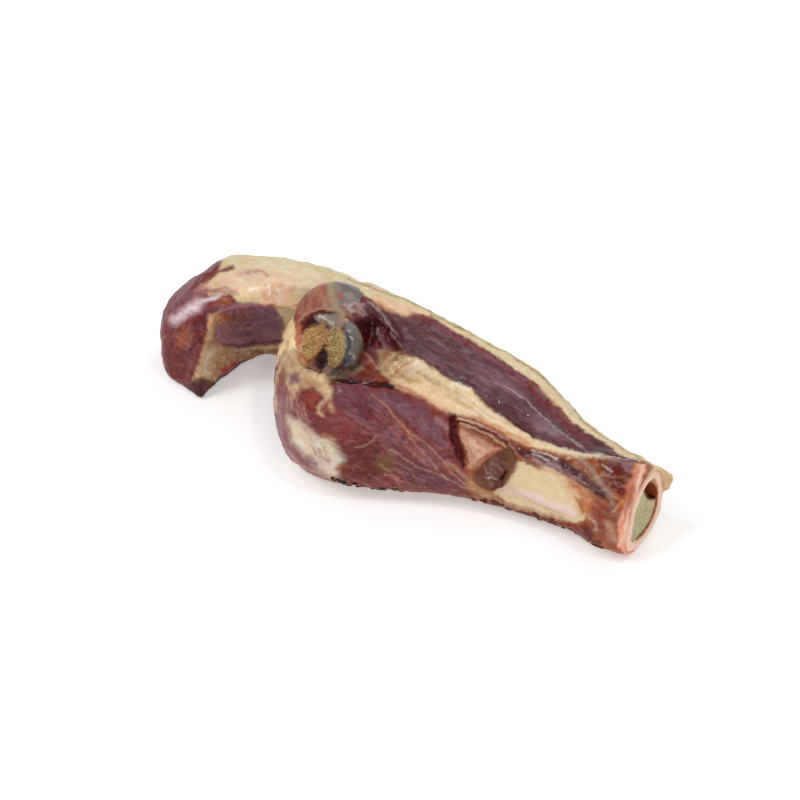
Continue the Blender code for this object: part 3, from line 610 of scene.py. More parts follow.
LOWER_MARKS = (
    area("lower meat", Tone.LEAN_RED, (262, 440), (268, 385), (285, 350), (302, 362), (320, 378),
         (330, 381), (360, 382), (385, 386), (402, 389), (430, 402), (452, 415), (454, 436),
         (465, 466), (480, 490), (500, 503), (500, 520), (250, 520), soft=2.5),
    line("gap lip", Tone.SHADOW, 1.5, (336, 382), (350, 381.6), (362, 382.6), (374, 386), (388, 386),
         (403, 390), soft=2.4, strength=0.9, lift=-0.5),
    area("thick end pink", Tone.LEAN_PINK, (262, 430), (274, 388), (290, 366), (304, 378), (300, 400),
         (288, 415), (286, 440), (300, 470), (270, 450), soft=6, strength=0.7),
    area("thick end mauve", Tone.LEAN_MAUVE, (262, 400), (276, 410), (286, 440), (306, 466),
         (330, 480), (300, 480), (264, 446), soft=6, strength=0.7),
    line("end fascia one", Tone.CREAM, 1.5, (277, 372), (275, 392), (276, 412), soft=2.5,
         strength=0.65),
    line("end fascia two", Tone.FASCIA, 1.0, (285, 356), (288, 378), (294, 394), (290, 410), soft=2.2,
         strength=0.8),
    line("end fascia three", Tone.FASCIA, 0.9, (293, 372), (290, 386), (296, 398), (300, 392),
         soft=2.2, strength=0.6),
    line("end edge cream", Tone.CREAM, 2.0, (292, 345), (284, 358), (279, 372), soft=3, strength=0.8),
    area("web", Tone.WEB, (286, 352), (298, 356), (310, 366), (324, 378), (331, 390), (328, 400),
         (318, 393), (306, 386), (294, 392), (286, 384), (284, 366), soft=6, strength=0.8),
    *bundle("web streak", Tone.TAN, ((288, 354), (292, 388)), ((318, 374), (328, 396)), 10, 69,
            half_width=0.8, strength=0.5, lift=-0.1),
    area("purple spot", Tone.SLAB_PURPLE, (288, 374), (299, 374), (301, 383), (291, 384), soft=4,
         strength=0.8),
    area("red muscle", Tone.LEAN_RED, (300, 392), (312, 386), (322, 396), (318, 408), (306, 412),
         (296, 404), soft=4, strength=0.9),
    line("red muscle speck", Tone.RUST, 2.2, (304, 402), (312, 400), (317, 394), soft=4,
         strength=0.55),
    line("cheek bead", Tone.WEB, 2.8, (290, 345), (295, 356), (303, 366.5), (312, 374), (322, 379.5),
         soft=3, strength=0.95, lift=1.4),
    line("hook top", Tone.WEB, 4.0, (308, 368), (317, 376), (325, 383), (328, 392), soft=4, strength=0.9,
         lift=0.2),
    line("hook right", Tone.WEB, 1.6, (328, 386), (331, 396), (330, 405), (333, 412), soft=4,
         strength=0.6),
    line("hook", Tone.WEB, 1.5, (327, 392), (325, 400), (319.5, 407), (318.6, 413), (323, 416), soft=3.4,
         strength=0.8, lift=0.15),
    line("hook shade", Tone.LEAN_PINK, 1.2, (324, 404), (323, 411), (330, 409), soft=3, strength=0.6),
    *bundle("end strand pale", Tone.FASCIA, ((283, 366), (290, 430)), ((304, 404), (334, 470)), 14, 61,
            half_width=0.6, strength=0.4, lift=0.1),
    *bundle("end strand dark", Tone.LEAN_PURPLE, ((284, 380), (292, 440)), ((306, 400), (340, 470)), 14, 62,
            half_width=0.8, strength=0.5),
    area("dark muscle", Tone.LEAN_PURPLE, (331, 385), (363, 384), (372, 393), (392, 411), (388, 424),
         (375, 433), (363, 424), (341, 411), (332, 400), soft=4, strength=0.9, lift=0.4),
    area("mauve muscle", Tone.SLAB_PURPLE, (372, 390), (400, 394), (425, 408), (440, 428),
         (446, 448), (434, 442), (412, 426), (392, 408), soft=4, strength=0.65, lift=0.5),
    area("right muscle", Tone.LEAN_PURPLE, (385, 424), (410, 433), (440, 452), (462, 472),
         (475, 492), (440, 488), (405, 478), (384, 452), soft=7, strength=0.6),
    area("low muscle grey", Tone.SLAB, (396, 462), (420, 466), (446, 480), (440, 489), (404, 484),
         soft=5, strength=0.6),
    area("mauve glow", Tone.LEAN_MAUVE, (410, 440), (432, 450), (448, 466), (430, 466), (412, 454),
         soft=6, strength=0.45),
    area("red centre", Tone.SLAB_RED, (368, 408), (384, 410), (386, 424), (374, 428), (364, 418),
         soft=5, strength=0.7),
    area("red low", Tone.BROWN_RED, (338, 446), (366, 440), (388, 456), (380, 480), (345, 478),
         (336, 462), soft=6, strength=0.8),
    area("brown low", Tone.BROWN_RED, (356, 440), (372, 440), (392, 452), (398, 472), (380, 474),
         (362, 458), soft=7, strength=0.7),
    *bundle("strand pink", Tone.LEAN_PINK, ((334, 396), (392, 470)), ((378, 394), (452, 474)), 22, 63,
            strength=0.45, lift=0.1),
    *bundle("strand dark", Tone.HOOD_DARK, ((336, 400), (396, 474)), ((380, 396), (456, 470)), 20, 64,
            half_width=0.6, strength=0.45, lift=-0.15),
    *bundle("strand mauve", Tone.LEAN_MAUVE, ((388, 398), (444, 458)), ((436, 412), (472, 480)), 14, 65,
            strength=0.4),
    *bundle("strand orange", Tone.ORANGE, ((380, 430), (466, 492)), ((400, 424), (482, 492)), 9, 66,
            half_width=0.5, strength=0.4, lift=0.1),
    *bundle("strand low", Tone.FASCIA, ((346, 462), (390, 486)), ((392, 462), (460, 488)), 10, 67,
            strength=0.35),
    area("olive low", Tone.OLIVE, (376, 456), (392, 450), (396, 466), (386, 472), (376, 468), soft=5,
         strength=0.5),
    area("white fat", Tone.FAT_WHITE, (287, 416), (298.7, 421), (311, 432), (329, 441), (337, 449),
         (344.6, 460), (337, 466), (338.5, 477), (330, 478), (317, 469.4), (304, 456), (292, 441),
         soft=7, strength=0.92, lift=0.3),
    line("white fat arm", Tone.TAN, 1.6, (316, 440), (326, 434), (334, 440), soft=3.5, strength=0.6),
    area("fat mauve patch", Tone.LEAN_MAUVE, (303, 455), (312, 456), (319, 463), (316, 467),
         (306, 463), soft=3, strength=0.8),
    line("fat swirl", Tone.RUST, 1.4, (337, 468), (342, 465), (348, 468), soft=2.4, strength=0.8),
    line("fascia main", Tone.FASCIA, 0.5, (372, 393), (384, 404), (395, 416), (407, 429.6),
         (418, 438), (427, 445), (437, 453), (445.6, 463), (455, 477), (474, 490), soft=1.6,
         strength=0.7, lift=0.25),
    line("fascia main shade", Tone.SHADOW, 0.7, (380, 403), (392, 416), (404, 430), (424, 447),
         (442, 464), soft=2, strength=0.4, lift=-0.3),
    line("fascia low", Tone.FASCIA, 0.4, (390, 450), (410.4, 463), (430, 471), (452, 481),
         (470, 490), soft=1.5, strength=0.7, lift=0.2),
    line("fascia middle", Tone.RUST, 0.8, (376, 410), (392, 424), (410, 438), (432, 456), (450, 474),
         soft=1.8, strength=0.6),
    line("fascia short", Tone.FASCIA, 0.5, (375, 436), (373, 441), (364, 446.5), (355, 448), soft=1.5,
         strength=0.7, lift=0.2),
    line("fascia foot", Tone.FASCIA, 0.5, (380, 464), (390, 472), (398, 484), soft=1.8, strength=0.5),
    line("fibre pink one", Tone.LEAN_PINK, 0.9, (330, 412), (346, 420), (362, 431), (374, 437),
         soft=2, strength=0.6),
    line("fibre pink two", Tone.LEAN_PINK, 0.8, (344, 410), (356, 420), (368, 428), soft=2,
         strength=0.6),
    line("fibre dark one", Tone.HOOD_DARK, 0.8, (352, 402), (362, 412), (370, 424), soft=2,
         strength=0.5, lift=-0.2),
    line("fibre dark two", Tone.HOOD_DARK, 1.0, (300, 420), (320, 428), (345, 434), (370, 438),
         soft=3, strength=0.35),
    *bundle("fat vein", Tone.LEAN_PINK, ((288, 420), (320, 462)), ((322, 438), (340, 474)), 8, 68,
            half_width=0.6, strength=0.35),
    line("fascia branch one", Tone.FASCIA, 0.6, (407, 430), (416, 446), (432, 462), (446, 480), soft=1.5,
         strength=0.6, lift=0.2),
    line("fascia branch two", Tone.ORANGE, 0.7, (384, 404), (400, 424), (416, 440), soft=2, strength=0.5),
    line("bottom edge", Tone.FASCIA, 1.0, (284, 448), (300, 464), (322, 476), (338, 481), soft=2,
         strength=0.6),
    line("right muscle sheen", Tone.SILVER, 2.2, (437, 420), (444, 425), (450, 430), soft=5,
         strength=0.45),
    line("right foot tan", Tone.FASCIA, 1.8, (448, 462), (462, 474), (474, 484), (486, 494), soft=4,
         strength=0.55),
    area("gash", Tone.GASH, (449, 412), (458, 418), (461, 438), (469, 465), (464, 469), (455, 454),
         (450.5, 437), soft=1.6, lift=-3.2),
)

END_MARKS = (
    area("end meat", Tone.END_MEAT, (456, 416), (476, 418), (512, 438), (560, 450), (600, 456),
         (640, 460), (650, 470), (640, 500), (636, 560), (600, 560), (575, 540), (480, 512),
         (470, 490), (466, 470), (460, 440), soft=2.5),
    *bundle("end strand rust", Tone.RUST, ((515, 446), (604, 530)), ((566, 452), (634, 500)), 16, 71,
            half_width=0.8, strength=0.5, lift=0.15),
    *bundle("end strand dark", Tone.END_DARK, ((515, 446), (604, 530)), ((566, 452), (634, 500)), 16, 72,
            half_width=0.8, strength=0.5, lift=-0.2),
    *bundle("end strand pale", Tone.FASCIA, ((520, 446), (604, 540)), ((570, 454), (634, 510)), 12, 73,
            strength=0.5, lift=0.2),
    *bundle("foot strand dark", Tone.BROWN_RED, ((470, 488), (600, 548)), ((480, 500), (600, 540)), 16, 74,
            half_width=0.9, strength=0.6),
    area("triangle", Tone.TRIANGLE, (460, 429), (478, 437), (500, 448), (488, 458), (476, 468),
         (470, 470), (465, 455), soft=2, strength=0.95),
    *bundle("triangle streak pink", Tone.FAT_PINK, ((466, 434), (474, 468)), ((498, 448), (487, 458)), 8, 78,
            half_width=0.8, strength=0.6),
    *bundle("triangle streak rust", Tone.RUST, ((466, 432), (474, 466)), ((498, 448), (487, 458)), 6, 79,
            strength=0.35),
    line("triangle pink", Tone.FAT_PINK, 2.0, (468, 444), (480, 449), (490, 452), soft=5,
         strength=0.6),
    area("under triangle", Tone.TAN, (470, 474), (476, 484), (500, 492), (506, 500), (480, 496),
         (466, 486), soft=4, strength=0.8),
    line("strip red", Tone.END_DARK, 5.0, (462, 422), (482, 429), (504, 441), (520, 452), soft=3,
         strength=0.9),
    line("strip pale top", Tone.RING_PALE, 1.1, (459, 419), (476, 422.5), (492, 429.5), (508, 439),
         soft=1.6, strength=0.85, lift=0.6),
    line("strip pale low", Tone.FASCIA, 1.1, (460, 424.5), (476, 428), (492, 436), (506, 446.5),
         soft=1.6, strength=0.85, lift=0.5),
    line("strip groove", Tone.GASH, 0.7, (461, 422), (478, 426), (494, 433), (508, 443), soft=1.4,
         strength=0.7, lift=-0.4),
    area("window", Tone.BONE_CREAM, (508, 462), (520, 462), (550, 467), (565, 476), (576, 490),
         (586, 520), (575, 524), (540, 516), (505, 502), (494, 492), soft=2.5, strength=0.9),
    line("window pink", Tone.BONE_PINK, 4.5, (506, 488), (530, 494), (552, 502), (574, 512), soft=5,
         strength=0.9),
    area("window amber", Tone.AMBER, (562, 478), (580, 484), (594, 500), (590, 520), (582, 512),
         (574, 494), soft=10, strength=0.65),
    line("window olive", Tone.FAT_OLIVE, 1.2, (532, 466), (548, 469), (560, 476), soft=3,
         strength=0.5),
    area("knob", Tone.KNOB, (473.5, 474), (481, 464), (494, 453), (505.7, 448), (515, 453), (517, 464),
         (512, 476), (505, 485), (494, 490), (482, 487), (475, 481), soft=2.5, lift=2.2),
    *bundle("knob grain", Tone.BROWN, ((476, 468), (498, 486)), ((500, 452), (514, 470)), 14, 75,
            half_width=0.8, strength=0.6, lift=-0.3),
    *bundle("knob grain pale", Tone.GREY_TISSUE, ((476, 470), (494, 486)), ((498, 454), (514, 466)), 10, 76,
            half_width=0.6, strength=0.45, lift=0.3),
    area("knob dark", Tone.BROWN, (495, 455), (508, 451), (514, 459), (508, 470), (498, 466), soft=5,
         strength=0.6),
    line("knob hole", Tone.SHADOW, 1.5, (498, 476.5), (502, 475), (507, 470), soft=2.4, strength=0.95,
         lift=-1.3),
    line("knob crack", Tone.BLACK, 0.8, (484, 478), (490, 480), (498, 477), soft=2, strength=0.7, lift=-0.5),
    line("knob glint", Tone.WHITE_GLINT, 0.5, (490, 476), (493, 475), (496, 476), soft=1.4, strength=0.7),
    line("knob rim", Tone.RUST, 1.2, (472, 478), (474, 468), (482, 459), (494, 450), soft=2.2,
         strength=0.8),
    line("tendon", Tone.TENDON, 5.2, (521, 450), (541, 457), (560, 464), (575, 472), (589, 483),
         (603, 494), soft=3, strength=0.95, lift=0.8),
    line("tendon glints", Tone.WHITE_GLINT, 0.7, (531, 451), (538, 453), (546, 454), (553, 457),
         (558, 459), soft=1.4, strength=0.8, lift=0.3),
    line("tendon glint two", Tone.WHITE_GLINT, 0.7, (534, 455), (542, 458), (549, 462), soft=1.5, strength=0.7,
         lift=0.3),
    *bundle("tendon strand", Tone.SILVER, ((524, 448), (596, 484)), ((522, 456), (584, 484)), 9, 77,
            strength=0.5, lift=0.2),
    line("tendon curl", Tone.END_DARK, 2.0, (513, 444), (520, 455), (528, 463), (540, 467), soft=2.5,
         strength=0.8, lift=0.4),
    line("curl pale", Tone.FASCIA, 0.7, (510, 443), (516, 452), (524, 460), soft=1.4, strength=0.7,
         lift=0.3),
    line("tendon amber foot", Tone.AMBER, 1.2, (536, 468), (552, 472), (566, 482), (580, 492),
         soft=2.5, strength=0.7),
    line("grey cord", Tone.GREY_TISSUE, 2.2, (578, 455), (588, 465), (598, 478), (608, 491),
         (614, 508), soft=2.5, strength=0.8, lift=0.5),
    area("olive bits", Tone.GREY_RIM, (574, 452), (587, 452), (588, 460), (578, 461), soft=2.5,
         strength=0.85, lift=0.4),
    line("bits glint", Tone.WHITE_GLINT, 0.5, (567, 460), (572, 457), soft=1.5, strength=0.6, lift=0.2),
    area("end dark muscle", Tone.END_DARK, (596, 456), (614, 459), (630, 463), (632, 478),
         (627, 496), (616, 492), (604, 476), soft=3, strength=0.9),
    line("end dark glint", Tone.WHITE_GLINT, 0.5, (602, 464), (607, 468), (612, 471), soft=1.6,
         strength=0.7, lift=0.2),
    line("end upper pale", Tone.SILVER, 0.9, (596, 457), (614, 460), (634, 463), soft=1.8,
         strength=0.7, lift=0.3),
    area("end mauve", Tone.LEAN_MAUVE, (622, 462), (634, 464), (630, 474), (624, 470), soft=3,
         strength=0.7),
    line("end amber", Tone.ORANGE, 1.6, (612, 512), (622, 504), (627, 492), (630, 480), soft=3,
         strength=0.75),
    area("end red low", Tone.LEAN_RED, (598, 500), (618, 508), (616, 545), (600, 536), (590, 522),
         soft=6, strength=0.6),
    area("end tan low", Tone.FASCIA, (604, 520), (614, 524), (618, 545), (608, 540), soft=5,
         strength=0.55),
    line("end pale cord", Tone.FAT_WHITE, 0.7, (593, 519), (596, 524), (597, 530), soft=2.4,
         strength=0.6, lift=0.2),
    line("end yellow one", Tone.FAT_OLIVE, 0.7, (613, 512), (618, 507), (624, 500), soft=1.6,
         strength=0.7),
    area("end dark scrap", Tone.END_DARK, (575, 526), (590, 526), (596, 534), (590, 542), (576, 534),
         soft=2.5, strength=0.85, lift=0.3),
    line("foot rust", Tone.LEAN_RED, 3.5, (486, 500), (520, 510), (552, 519), (578, 528), soft=4,
         strength=0.7),
    line("foot pink", Tone.FASCIA, 1.2, (480, 494), (505, 504), (540, 514), soft=3, strength=0.5),
    area("ring side", Tone.RING_PINK, (636, 462), (648, 464), (642, 480), (636, 496), (632, 512),
         (631, 532), (635, 552), (626, 556), (618, 545), (619, 520), (625, 504), (631, 484), soft=2),
    *bundle("ring streak pale", Tone.RING_PALE, ((646, 465), (628, 552)), ((638, 466), (620, 544)), 9, 80,
            half_width=0.8, strength=0.5, lift=0.1),
    *bundle("ring streak rust", Tone.RUST, ((640, 464), (622, 550)), ((634, 470), (618, 540)), 9, 81,
            half_width=0.7, strength=0.45),
    line("ring bright", Tone.RING_PALE, 1.4, (628, 520), (625.5, 530), (627, 542), soft=3,
         strength=0.6),
    line("ring rust", Tone.ORANGE, 1.6, (635, 468), (633, 480), (628, 496), soft=3, strength=0.7),
)

SWELL_MARKS = (
    area("window swell", Tone.BONE_CREAM, (508, 460), (530, 461), (552, 465), (566, 474), (580, 490),
         (588, 514), (580, 518), (540, 511), (504, 496), soft=5, strength=0.0, lift=1.15),
)

RING_MARKS = (
    area("cavity wall", Tone.RUST, (644, 480), (650, 478), (660, 490), (662, 510), (656, 530),
         (641, 540), (633, 540), (631, 520), (636, 500), soft=2),
    line("ring face", Tone.RING_PINK, 3.2, (652, 470), (642, 484), (636, 500), (631, 524), (633, 545),
         (637, 553), soft=2.5),
    line("ring line", Tone.RING_PALE, 1.1, (652, 471), (644, 479), (638.8, 490), (634, 507),
         (631.4, 524.6), (633.6, 541), (636, 551), soft=1.6),
    line("ring right", Tone.RING_PINK, 2.0, (654, 470), (661, 488), (663, 503), (662, 514),
         (658, 526), (647, 541), (637, 552), soft=2.5, strength=0.8),
    line("ring right brown", Tone.RUST, 0.9, (663.5, 503), (662.5, 514), (658.5, 527), (648, 542),
         (638, 553), soft=2, strength=0.7),
)

SLOT_MARKS = (
    area("slot amber", Tone.RUST, (646, 480), (654, 480), (660, 492), (660, 504), (652, 503),
         (646, 492), soft=2),
    line("slot dark", Tone.SHADOW, 2.0, (646.5, 483), (650, 491), (655, 501), soft=2),
    area("marrow stain", Tone.BROWN, (656, 508), (660, 512), (655, 530), (642, 541), (636, 543),
         (646, 533), (653, 522), soft=5, strength=0.7),
    area("marrow lip", Tone.MARROW_PALE, (650, 499), (658, 500), (657, 507), (650, 507), soft=2.5,
         strength=0.7),
)

SKIN_MARKS = (
    area("skin corner", Tone.SKIN_PALE, (652, 462), (680, 468), (676, 500), (664, 520), (662, 500),
         (660, 485), soft=2),
    line("skin corner edge", Tone.FAT_OLIVE, 1.0, (673, 475), (669, 490), (664, 507), soft=2,
         strength=0.7),
)

MEAT_MARKS = FLAP_MARKS + KNUCKLE_MARKS + LOWER_MARKS + END_MARKS + SLAB_MARKS + CREST_MARKS + SKIN_MARKS
BONE_MARKS = DOME_MARKS + KNUCKLE_MARKS + END_MARKS + RING_MARKS + SWELL_MARKS

SCRAP_EDGES = (
    (line("black edge", Tone.BLACK, 1.6, (335, 478), (345, 482), (361, 485), soft=2), 16),
    (line("black edge right", Tone.BLACK, 2.0, (371, 486), (382, 489), soft=2), 6),
    (line("olive edge", Tone.OLIVE, 1.8, (336, 478), (372, 486), (400, 489), (432, 489), (480, 498),
          soft=2), 26),
    (line("foot edge", Tone.BROWN, 2.2, (480, 500), (520, 511), (560, 524), (590, 541), soft=2), 24),
    (line("foot edge red", Tone.BROWN_RED, 2.4, (470, 496), (520, 510), (560, 523), (600, 546),
          soft=2), 30),
)


@dataclass(frozen=True)
class Mottle:
    """Cloudy spots of a tone on one kind of tissue, by their size across the fibres."""

    tone: Tone
    size: float
    seed: float
    amount: float
    tissue: str


MEAT_MOTTLES = (
    Mottle(Tone.LEAN_MAUVE, 3.6 * MM, 21.0, 0.24, "fibre"),
    Mottle(Tone.SLAB_RED, 4.8 * MM, 22.0, 0.24, "fibre"),
    Mottle(Tone.HOOD_DARK, 2.4 * MM, 23.0, 0.26, "fibre"),
    Mottle(Tone.FAT_PINK, 5.0 * MM, 24.0, 0.14, "fat"),
    Mottle(Tone.FAT_OLIVE, 6.5 * MM, 25.0, 0.16, "fat"),
    Mottle(Tone.FAT_PALE, 2.6 * MM, 26.0, 0.30, "fat"),
    Mottle(Tone.RIND_EDGE, 11.0 * MM, 27.0, 0.60, "rind"),
    Mottle(Tone.BROWN, 6.5 * MM, 28.0, 0.34, "rind"),
    Mottle(Tone.RUST, 3.0 * MM, 29.0, 0.30, "rind"),
)
BONE_MOTTLES = (
    Mottle(Tone.BROWN, 1.3 * MM, 31.0, 0.50, "sponge"),
    Mottle(Tone.FAT_OLIVE, 1.1 * MM, 32.0, 0.45, "sponge"),
    Mottle(Tone.SPONGE_PALE, 0.8 * MM, 33.0, 0.55, "sponge"),
)


@dataclass(frozen=True)
class Stain:
    """A range of a pattern that takes on a hue, on one kind of tissue or on all of them."""

    pattern: str
    low: float
    high: float
    tissue: str | None
    amount: float
    hue: Hue
    mode: str = "MULTIPLY"


STAINS = (
    Stain("strands", 0.52, 0.34, "fibre", 0.55, (0.35, 0.2, 0.24, 1.0)),
    Stain("strands", 0.58, 0.72, "fibre", 0.3, (0.42, 0.2, 0.17, 1.0), "MIX"),
    Stain("clouds", 0.45, 0.68, "fat", 0.4, (0.92, 0.74, 0.5, 1.0)),
    Stain("grain", 0.62, 0.36, None, 0.28, (0.5, 0.4, 0.4, 1.0)),
    Stain("pores", 0.35, 0.0, "rind", 0.5, (0.45, 0.3, 0.2, 1.0)),
    Stain("blots", 0.42, 0.66, "rind", 0.75, (0.62, 0.4, 0.26, 1.0)),
    Stain("holes", 0.42, 0.12, "sponge", 0.5, (0.28, 0.16, 0.08, 1.0)),
)


def linear(colour: tuple[int, int, int]) -> np.ndarray:
    """An 8-bit sRGB colour as linear values from 0 to 1."""
    share = np.array(colour, float) / 255.0
    return np.where(share <= 0.04045, share / 12.92, ((share + 0.055) / 1.055) ** 2.4)


def smooth_step(value: np.ndarray, low: float, high: float) -> np.ndarray:
    """A smooth change from 0 at low to 1 at high, whichever of the two is the larger."""
    share = np.clip((value - low) / (high - low), 0.0, 1.0)
    return share * share * (3.0 - 2.0 * share)


@dataclass(frozen=True)
class Uneven:
    """Smooth noise over a surface: the size of its humps, its seed, its height and its stretch."""

    size: float
    seed: float
    height: float = 1.0
    stretch: Triple = (1.0, 1.0, 1.0)
    octaves: int = 3
    finer: float = 2.1
    fading: float = 0.7

    def at(self, places: np.ndarray) -> np.ndarray:
        """Values from about minus to plus the height, one for each place."""
        start = Vector((self.seed, self.seed, self.seed))
        steps = [noise.fractal(Vector(place) / self.size + start, self.fading, self.finer, self.octaves)
                 for place in places * np.array(self.stretch)]
        return np.array(steps) * self.height


@dataclass(frozen=True)
class PhotoCamera:
    """The photograph's viewpoint, which also places every mark on the surface."""

    azimuth: float = 33.0
    elevation: float = 40.0
    lens_mm: float = 100.0
    sensor_mm: float = 36.0
    distance: float = 1.0333
    aim: Triple = (0.0098, 0.0068, 0.0280)
    picture: float = 800.0
    middle: Pixel = (415.0, 405.0)
    nearest: float = 0.01

    def axes(self) -> tuple[np.ndarray, np.ndarray, np.ndarray]:
        """The camera's directions to the right, up and back, as unit vectors."""
        turn = math.radians(self.azimuth)
        rise = math.radians(self.elevation)
        right = np.array([math.cos(turn), math.sin(turn), 0.0])
        back = np.array([math.sin(turn) * math.cos(rise), -math.cos(turn) * math.cos(rise), math.sin(rise)])
        return right, np.cross(back, right), back

    def eye(self) -> np.ndarray:
        """Where the camera stands."""
        return np.array(self.aim) + self.axes()[2] * self.distance

    def project(self, places: np.ndarray) -> np.ndarray:
        """The pixels at which places appear.

        Args:
            places: Points in metres, one in each row.

        Returns:
            Their pixels, one pair in each row.
        """
        right, upward, back = self.axes()
        offset = places - self.eye()
        scale = self.picture * self.lens_mm / self.sensor_mm / -(offset @ back)
        across = self.middle[0] + scale * (offset @ right)
        down = self.middle[1] - scale * (offset @ upward)
        return np.stack([across, down], axis=1)

    def place(self) -> None:
        """Adds the camera to the scene and makes it the one that renders."""
        lens = bpy.data.cameras.new("photo_camera")
        lens.lens = self.lens_mm
        lens.sensor_width = self.sensor_mm
        lens.shift_x = (self.picture / 2 - self.middle[0]) / self.picture
        lens.shift_y = (self.middle[1] - self.picture / 2) / self.picture
        lens.clip_start = self.nearest
        camera = bpy.data.objects.new("photo_camera", lens)
        right, upward, back = (Vector(axis) for axis in self.axes())
        turn = Matrix((right, upward, back)).transposed().to_4x4()
        camera.matrix_world = Matrix.Translation(Vector(self.eye())) @ turn
        bpy.context.scene.collection.objects.link(camera)
        bpy.context.scene.camera = camera


@dataclass
class Surface:
    """The points of one piece, with what the photograph's camera sees of them.

    Wobbles are pairs of a size in metres and a shift in pixels. A point counts as seen a little
    past the edge, and from off the surface by a small step. Slack is how far behind a surface a
    point may lie and still count as on it.
    """

    thing: bpy.types.Object
    camera: PhotoCamera
    wobbles: tuple[tuple[float, float], ...] = ((7.0 * MM, 1.5), (2.6 * MM, 1.2), (1.1 * MM, 0.9))
    softness: float = 1.5
    past_edge: float = 0.15
    off: float = 0.6 * MM
    slack: float = 1.2 * MM
    spill: int = 3
    places: np.ndarray = field(init=False)
    normals: np.ndarray = field(init=False)
    pixels: np.ndarray = field(init=False)
    seen: np.ndarray = field(init=False)

    def __post_init__(self) -> None:
        """Reads the mesh and finds the pixel of each point."""
        self.places = self.read("co")
        self.normals = self.read("normal")
        self.pixels = self.camera.project(self.places) + self.wobble()
        self.seen = np.zeros(len(self.places))

    def read(self, name: str) -> np.ndarray:
        """One vector of each point of the mesh."""
        vertices = self.thing.data.vertices
        values = np.empty(len(vertices) * 3)
        vertices.foreach_get(name, values)
        return values.reshape(-1, 3)

    def wobble(self) -> np.ndarray:
        """Uneven shifts of the pixels, which keep edges of marks from looking drawn."""
        total = np.zeros((len(self.places), 2))
        for size, pixels in self.wobbles:
            steps = [noise.noise_vector(Vector(place) / size) for place in self.places]
            total += np.array(steps)[:, :2] * pixels
        return total

    def look(self, trees: list[BVHTree]) -> None:
        """Finds which points the camera sees.

        Args:
            trees: The surfaces that can hide a point.
        """
        eye = Vector(self.camera.eye())
        facing = ((np.array(eye) - self.places) * self.normals).sum(1) / self.camera.distance
        clear = np.zeros(len(self.places))
        for index in np.nonzero(facing > -self.past_edge)[0]:
            way = Vector(self.places[index] + self.normals[index] * self.off) - eye
            reach = way.length - self.slack
            way.normalize()
            hidden = any(tree.ray_cast(eye, way, reach)[0] is not None for tree in trees)
            clear[index] = 0.0 if hidden else 1.0
        self.seen = self.spread_out(clear * smooth_step(facing, -self.past_edge, 0.0))

    def spread_out(self, amount: np.ndarray) -> np.ndarray:
        """Carries high values on to the next points a few times, so that paint passes an edge."""
        mesh = self.thing.data
        pairs = np.empty(len(mesh.edges) * 2, np.int32)
        mesh.edges.foreach_get("vertices", pairs)
        first, second = pairs.reshape(-1, 2).T
        for _ in range(self.spill):
            grown = amount.copy()
            np.maximum.at(grown, first, amount[second])
            np.maximum.at(grown, second, amount[first])
            amount = grown
        return amount

    def cover(self, mark: Mark) -> np.ndarray:
        """How much a mark covers each point, from 0 to 1.

        Args:
            mark: The patch or streak.

        Returns:
            One value for each point of the surface.
        """
        outline = np.array(mark.points)
        edge = mark.soft * self.softness
        reach = mark.half_width + edge
        low = outline.min(0) - reach
        high = outline.max(0) + reach
        near = ((self.pixels > low) & (self.pixels < high)).all(1) & (self.seen > 0.0)
        covered = np.zeros(len(self.places))
        spots = self.pixels[near]
        if mark.shape is Shape.AREA:
            depth = inside_depth(spots, outline)
        else:
            depth = mark.half_width - path_distance(spots, outline, closed=False)
        covered[near] = smooth_step(depth, -edge / 2, edge / 2) * self.seen[near]
        return covered

    def raise_by(self, lift: np.ndarray) -> None:
        """Moves the points out along their normals."""
        shifted = self.places + self.normals * lift[:, None]
        self.thing.data.vertices.foreach_set("co", shifted.ravel())
        self.thing.data.update()


def path_distance(spots: np.ndarray, path: np.ndarray, closed: bool) -> np.ndarray:
    """Distances of spots from a path.

    Args:
        spots: Pixels, one pair in each row.
        path: The path's points, in the same form.
        closed: Whether its end joins its start.

    Returns:
        One distance for each spot.
    """
    ends = np.roll(path, -1, axis=0) if closed else path[1:]
    starts = path if closed else path[:-1]
    nearest = np.full(len(spots), np.inf)
    for start, end in zip(starts, ends):
        run = end - start
        along = np.clip((spots - start) @ run / max(run @ run, TINY), 0.0, 1.0)
        gap = np.linalg.norm(spots - start - along[:, None] * run, axis=1)
        nearest = np.minimum(nearest, gap)
    return nearest


def inside_depth(spots: np.ndarray, outline: np.ndarray) -> np.ndarray:
    """How deep spots lie inside an outline, below zero outside it."""
    inside = np.zeros(len(spots), bool)
    for start, end in zip(outline, np.roll(outline, -1, axis=0)):
        spans = (start[1] > spots[:, 1]) != (end[1] > spots[:, 1])
        rise = (end[1] - start[1]) or TINY
        crossing = start[0] + (spots[:, 1] - start[1]) / rise * (end[0] - start[0])
        inside ^= spans & (spots[:, 0] < crossing)
    return np.where(inside, 1.0, -1.0) * path_distance(spots, outline, closed=True)


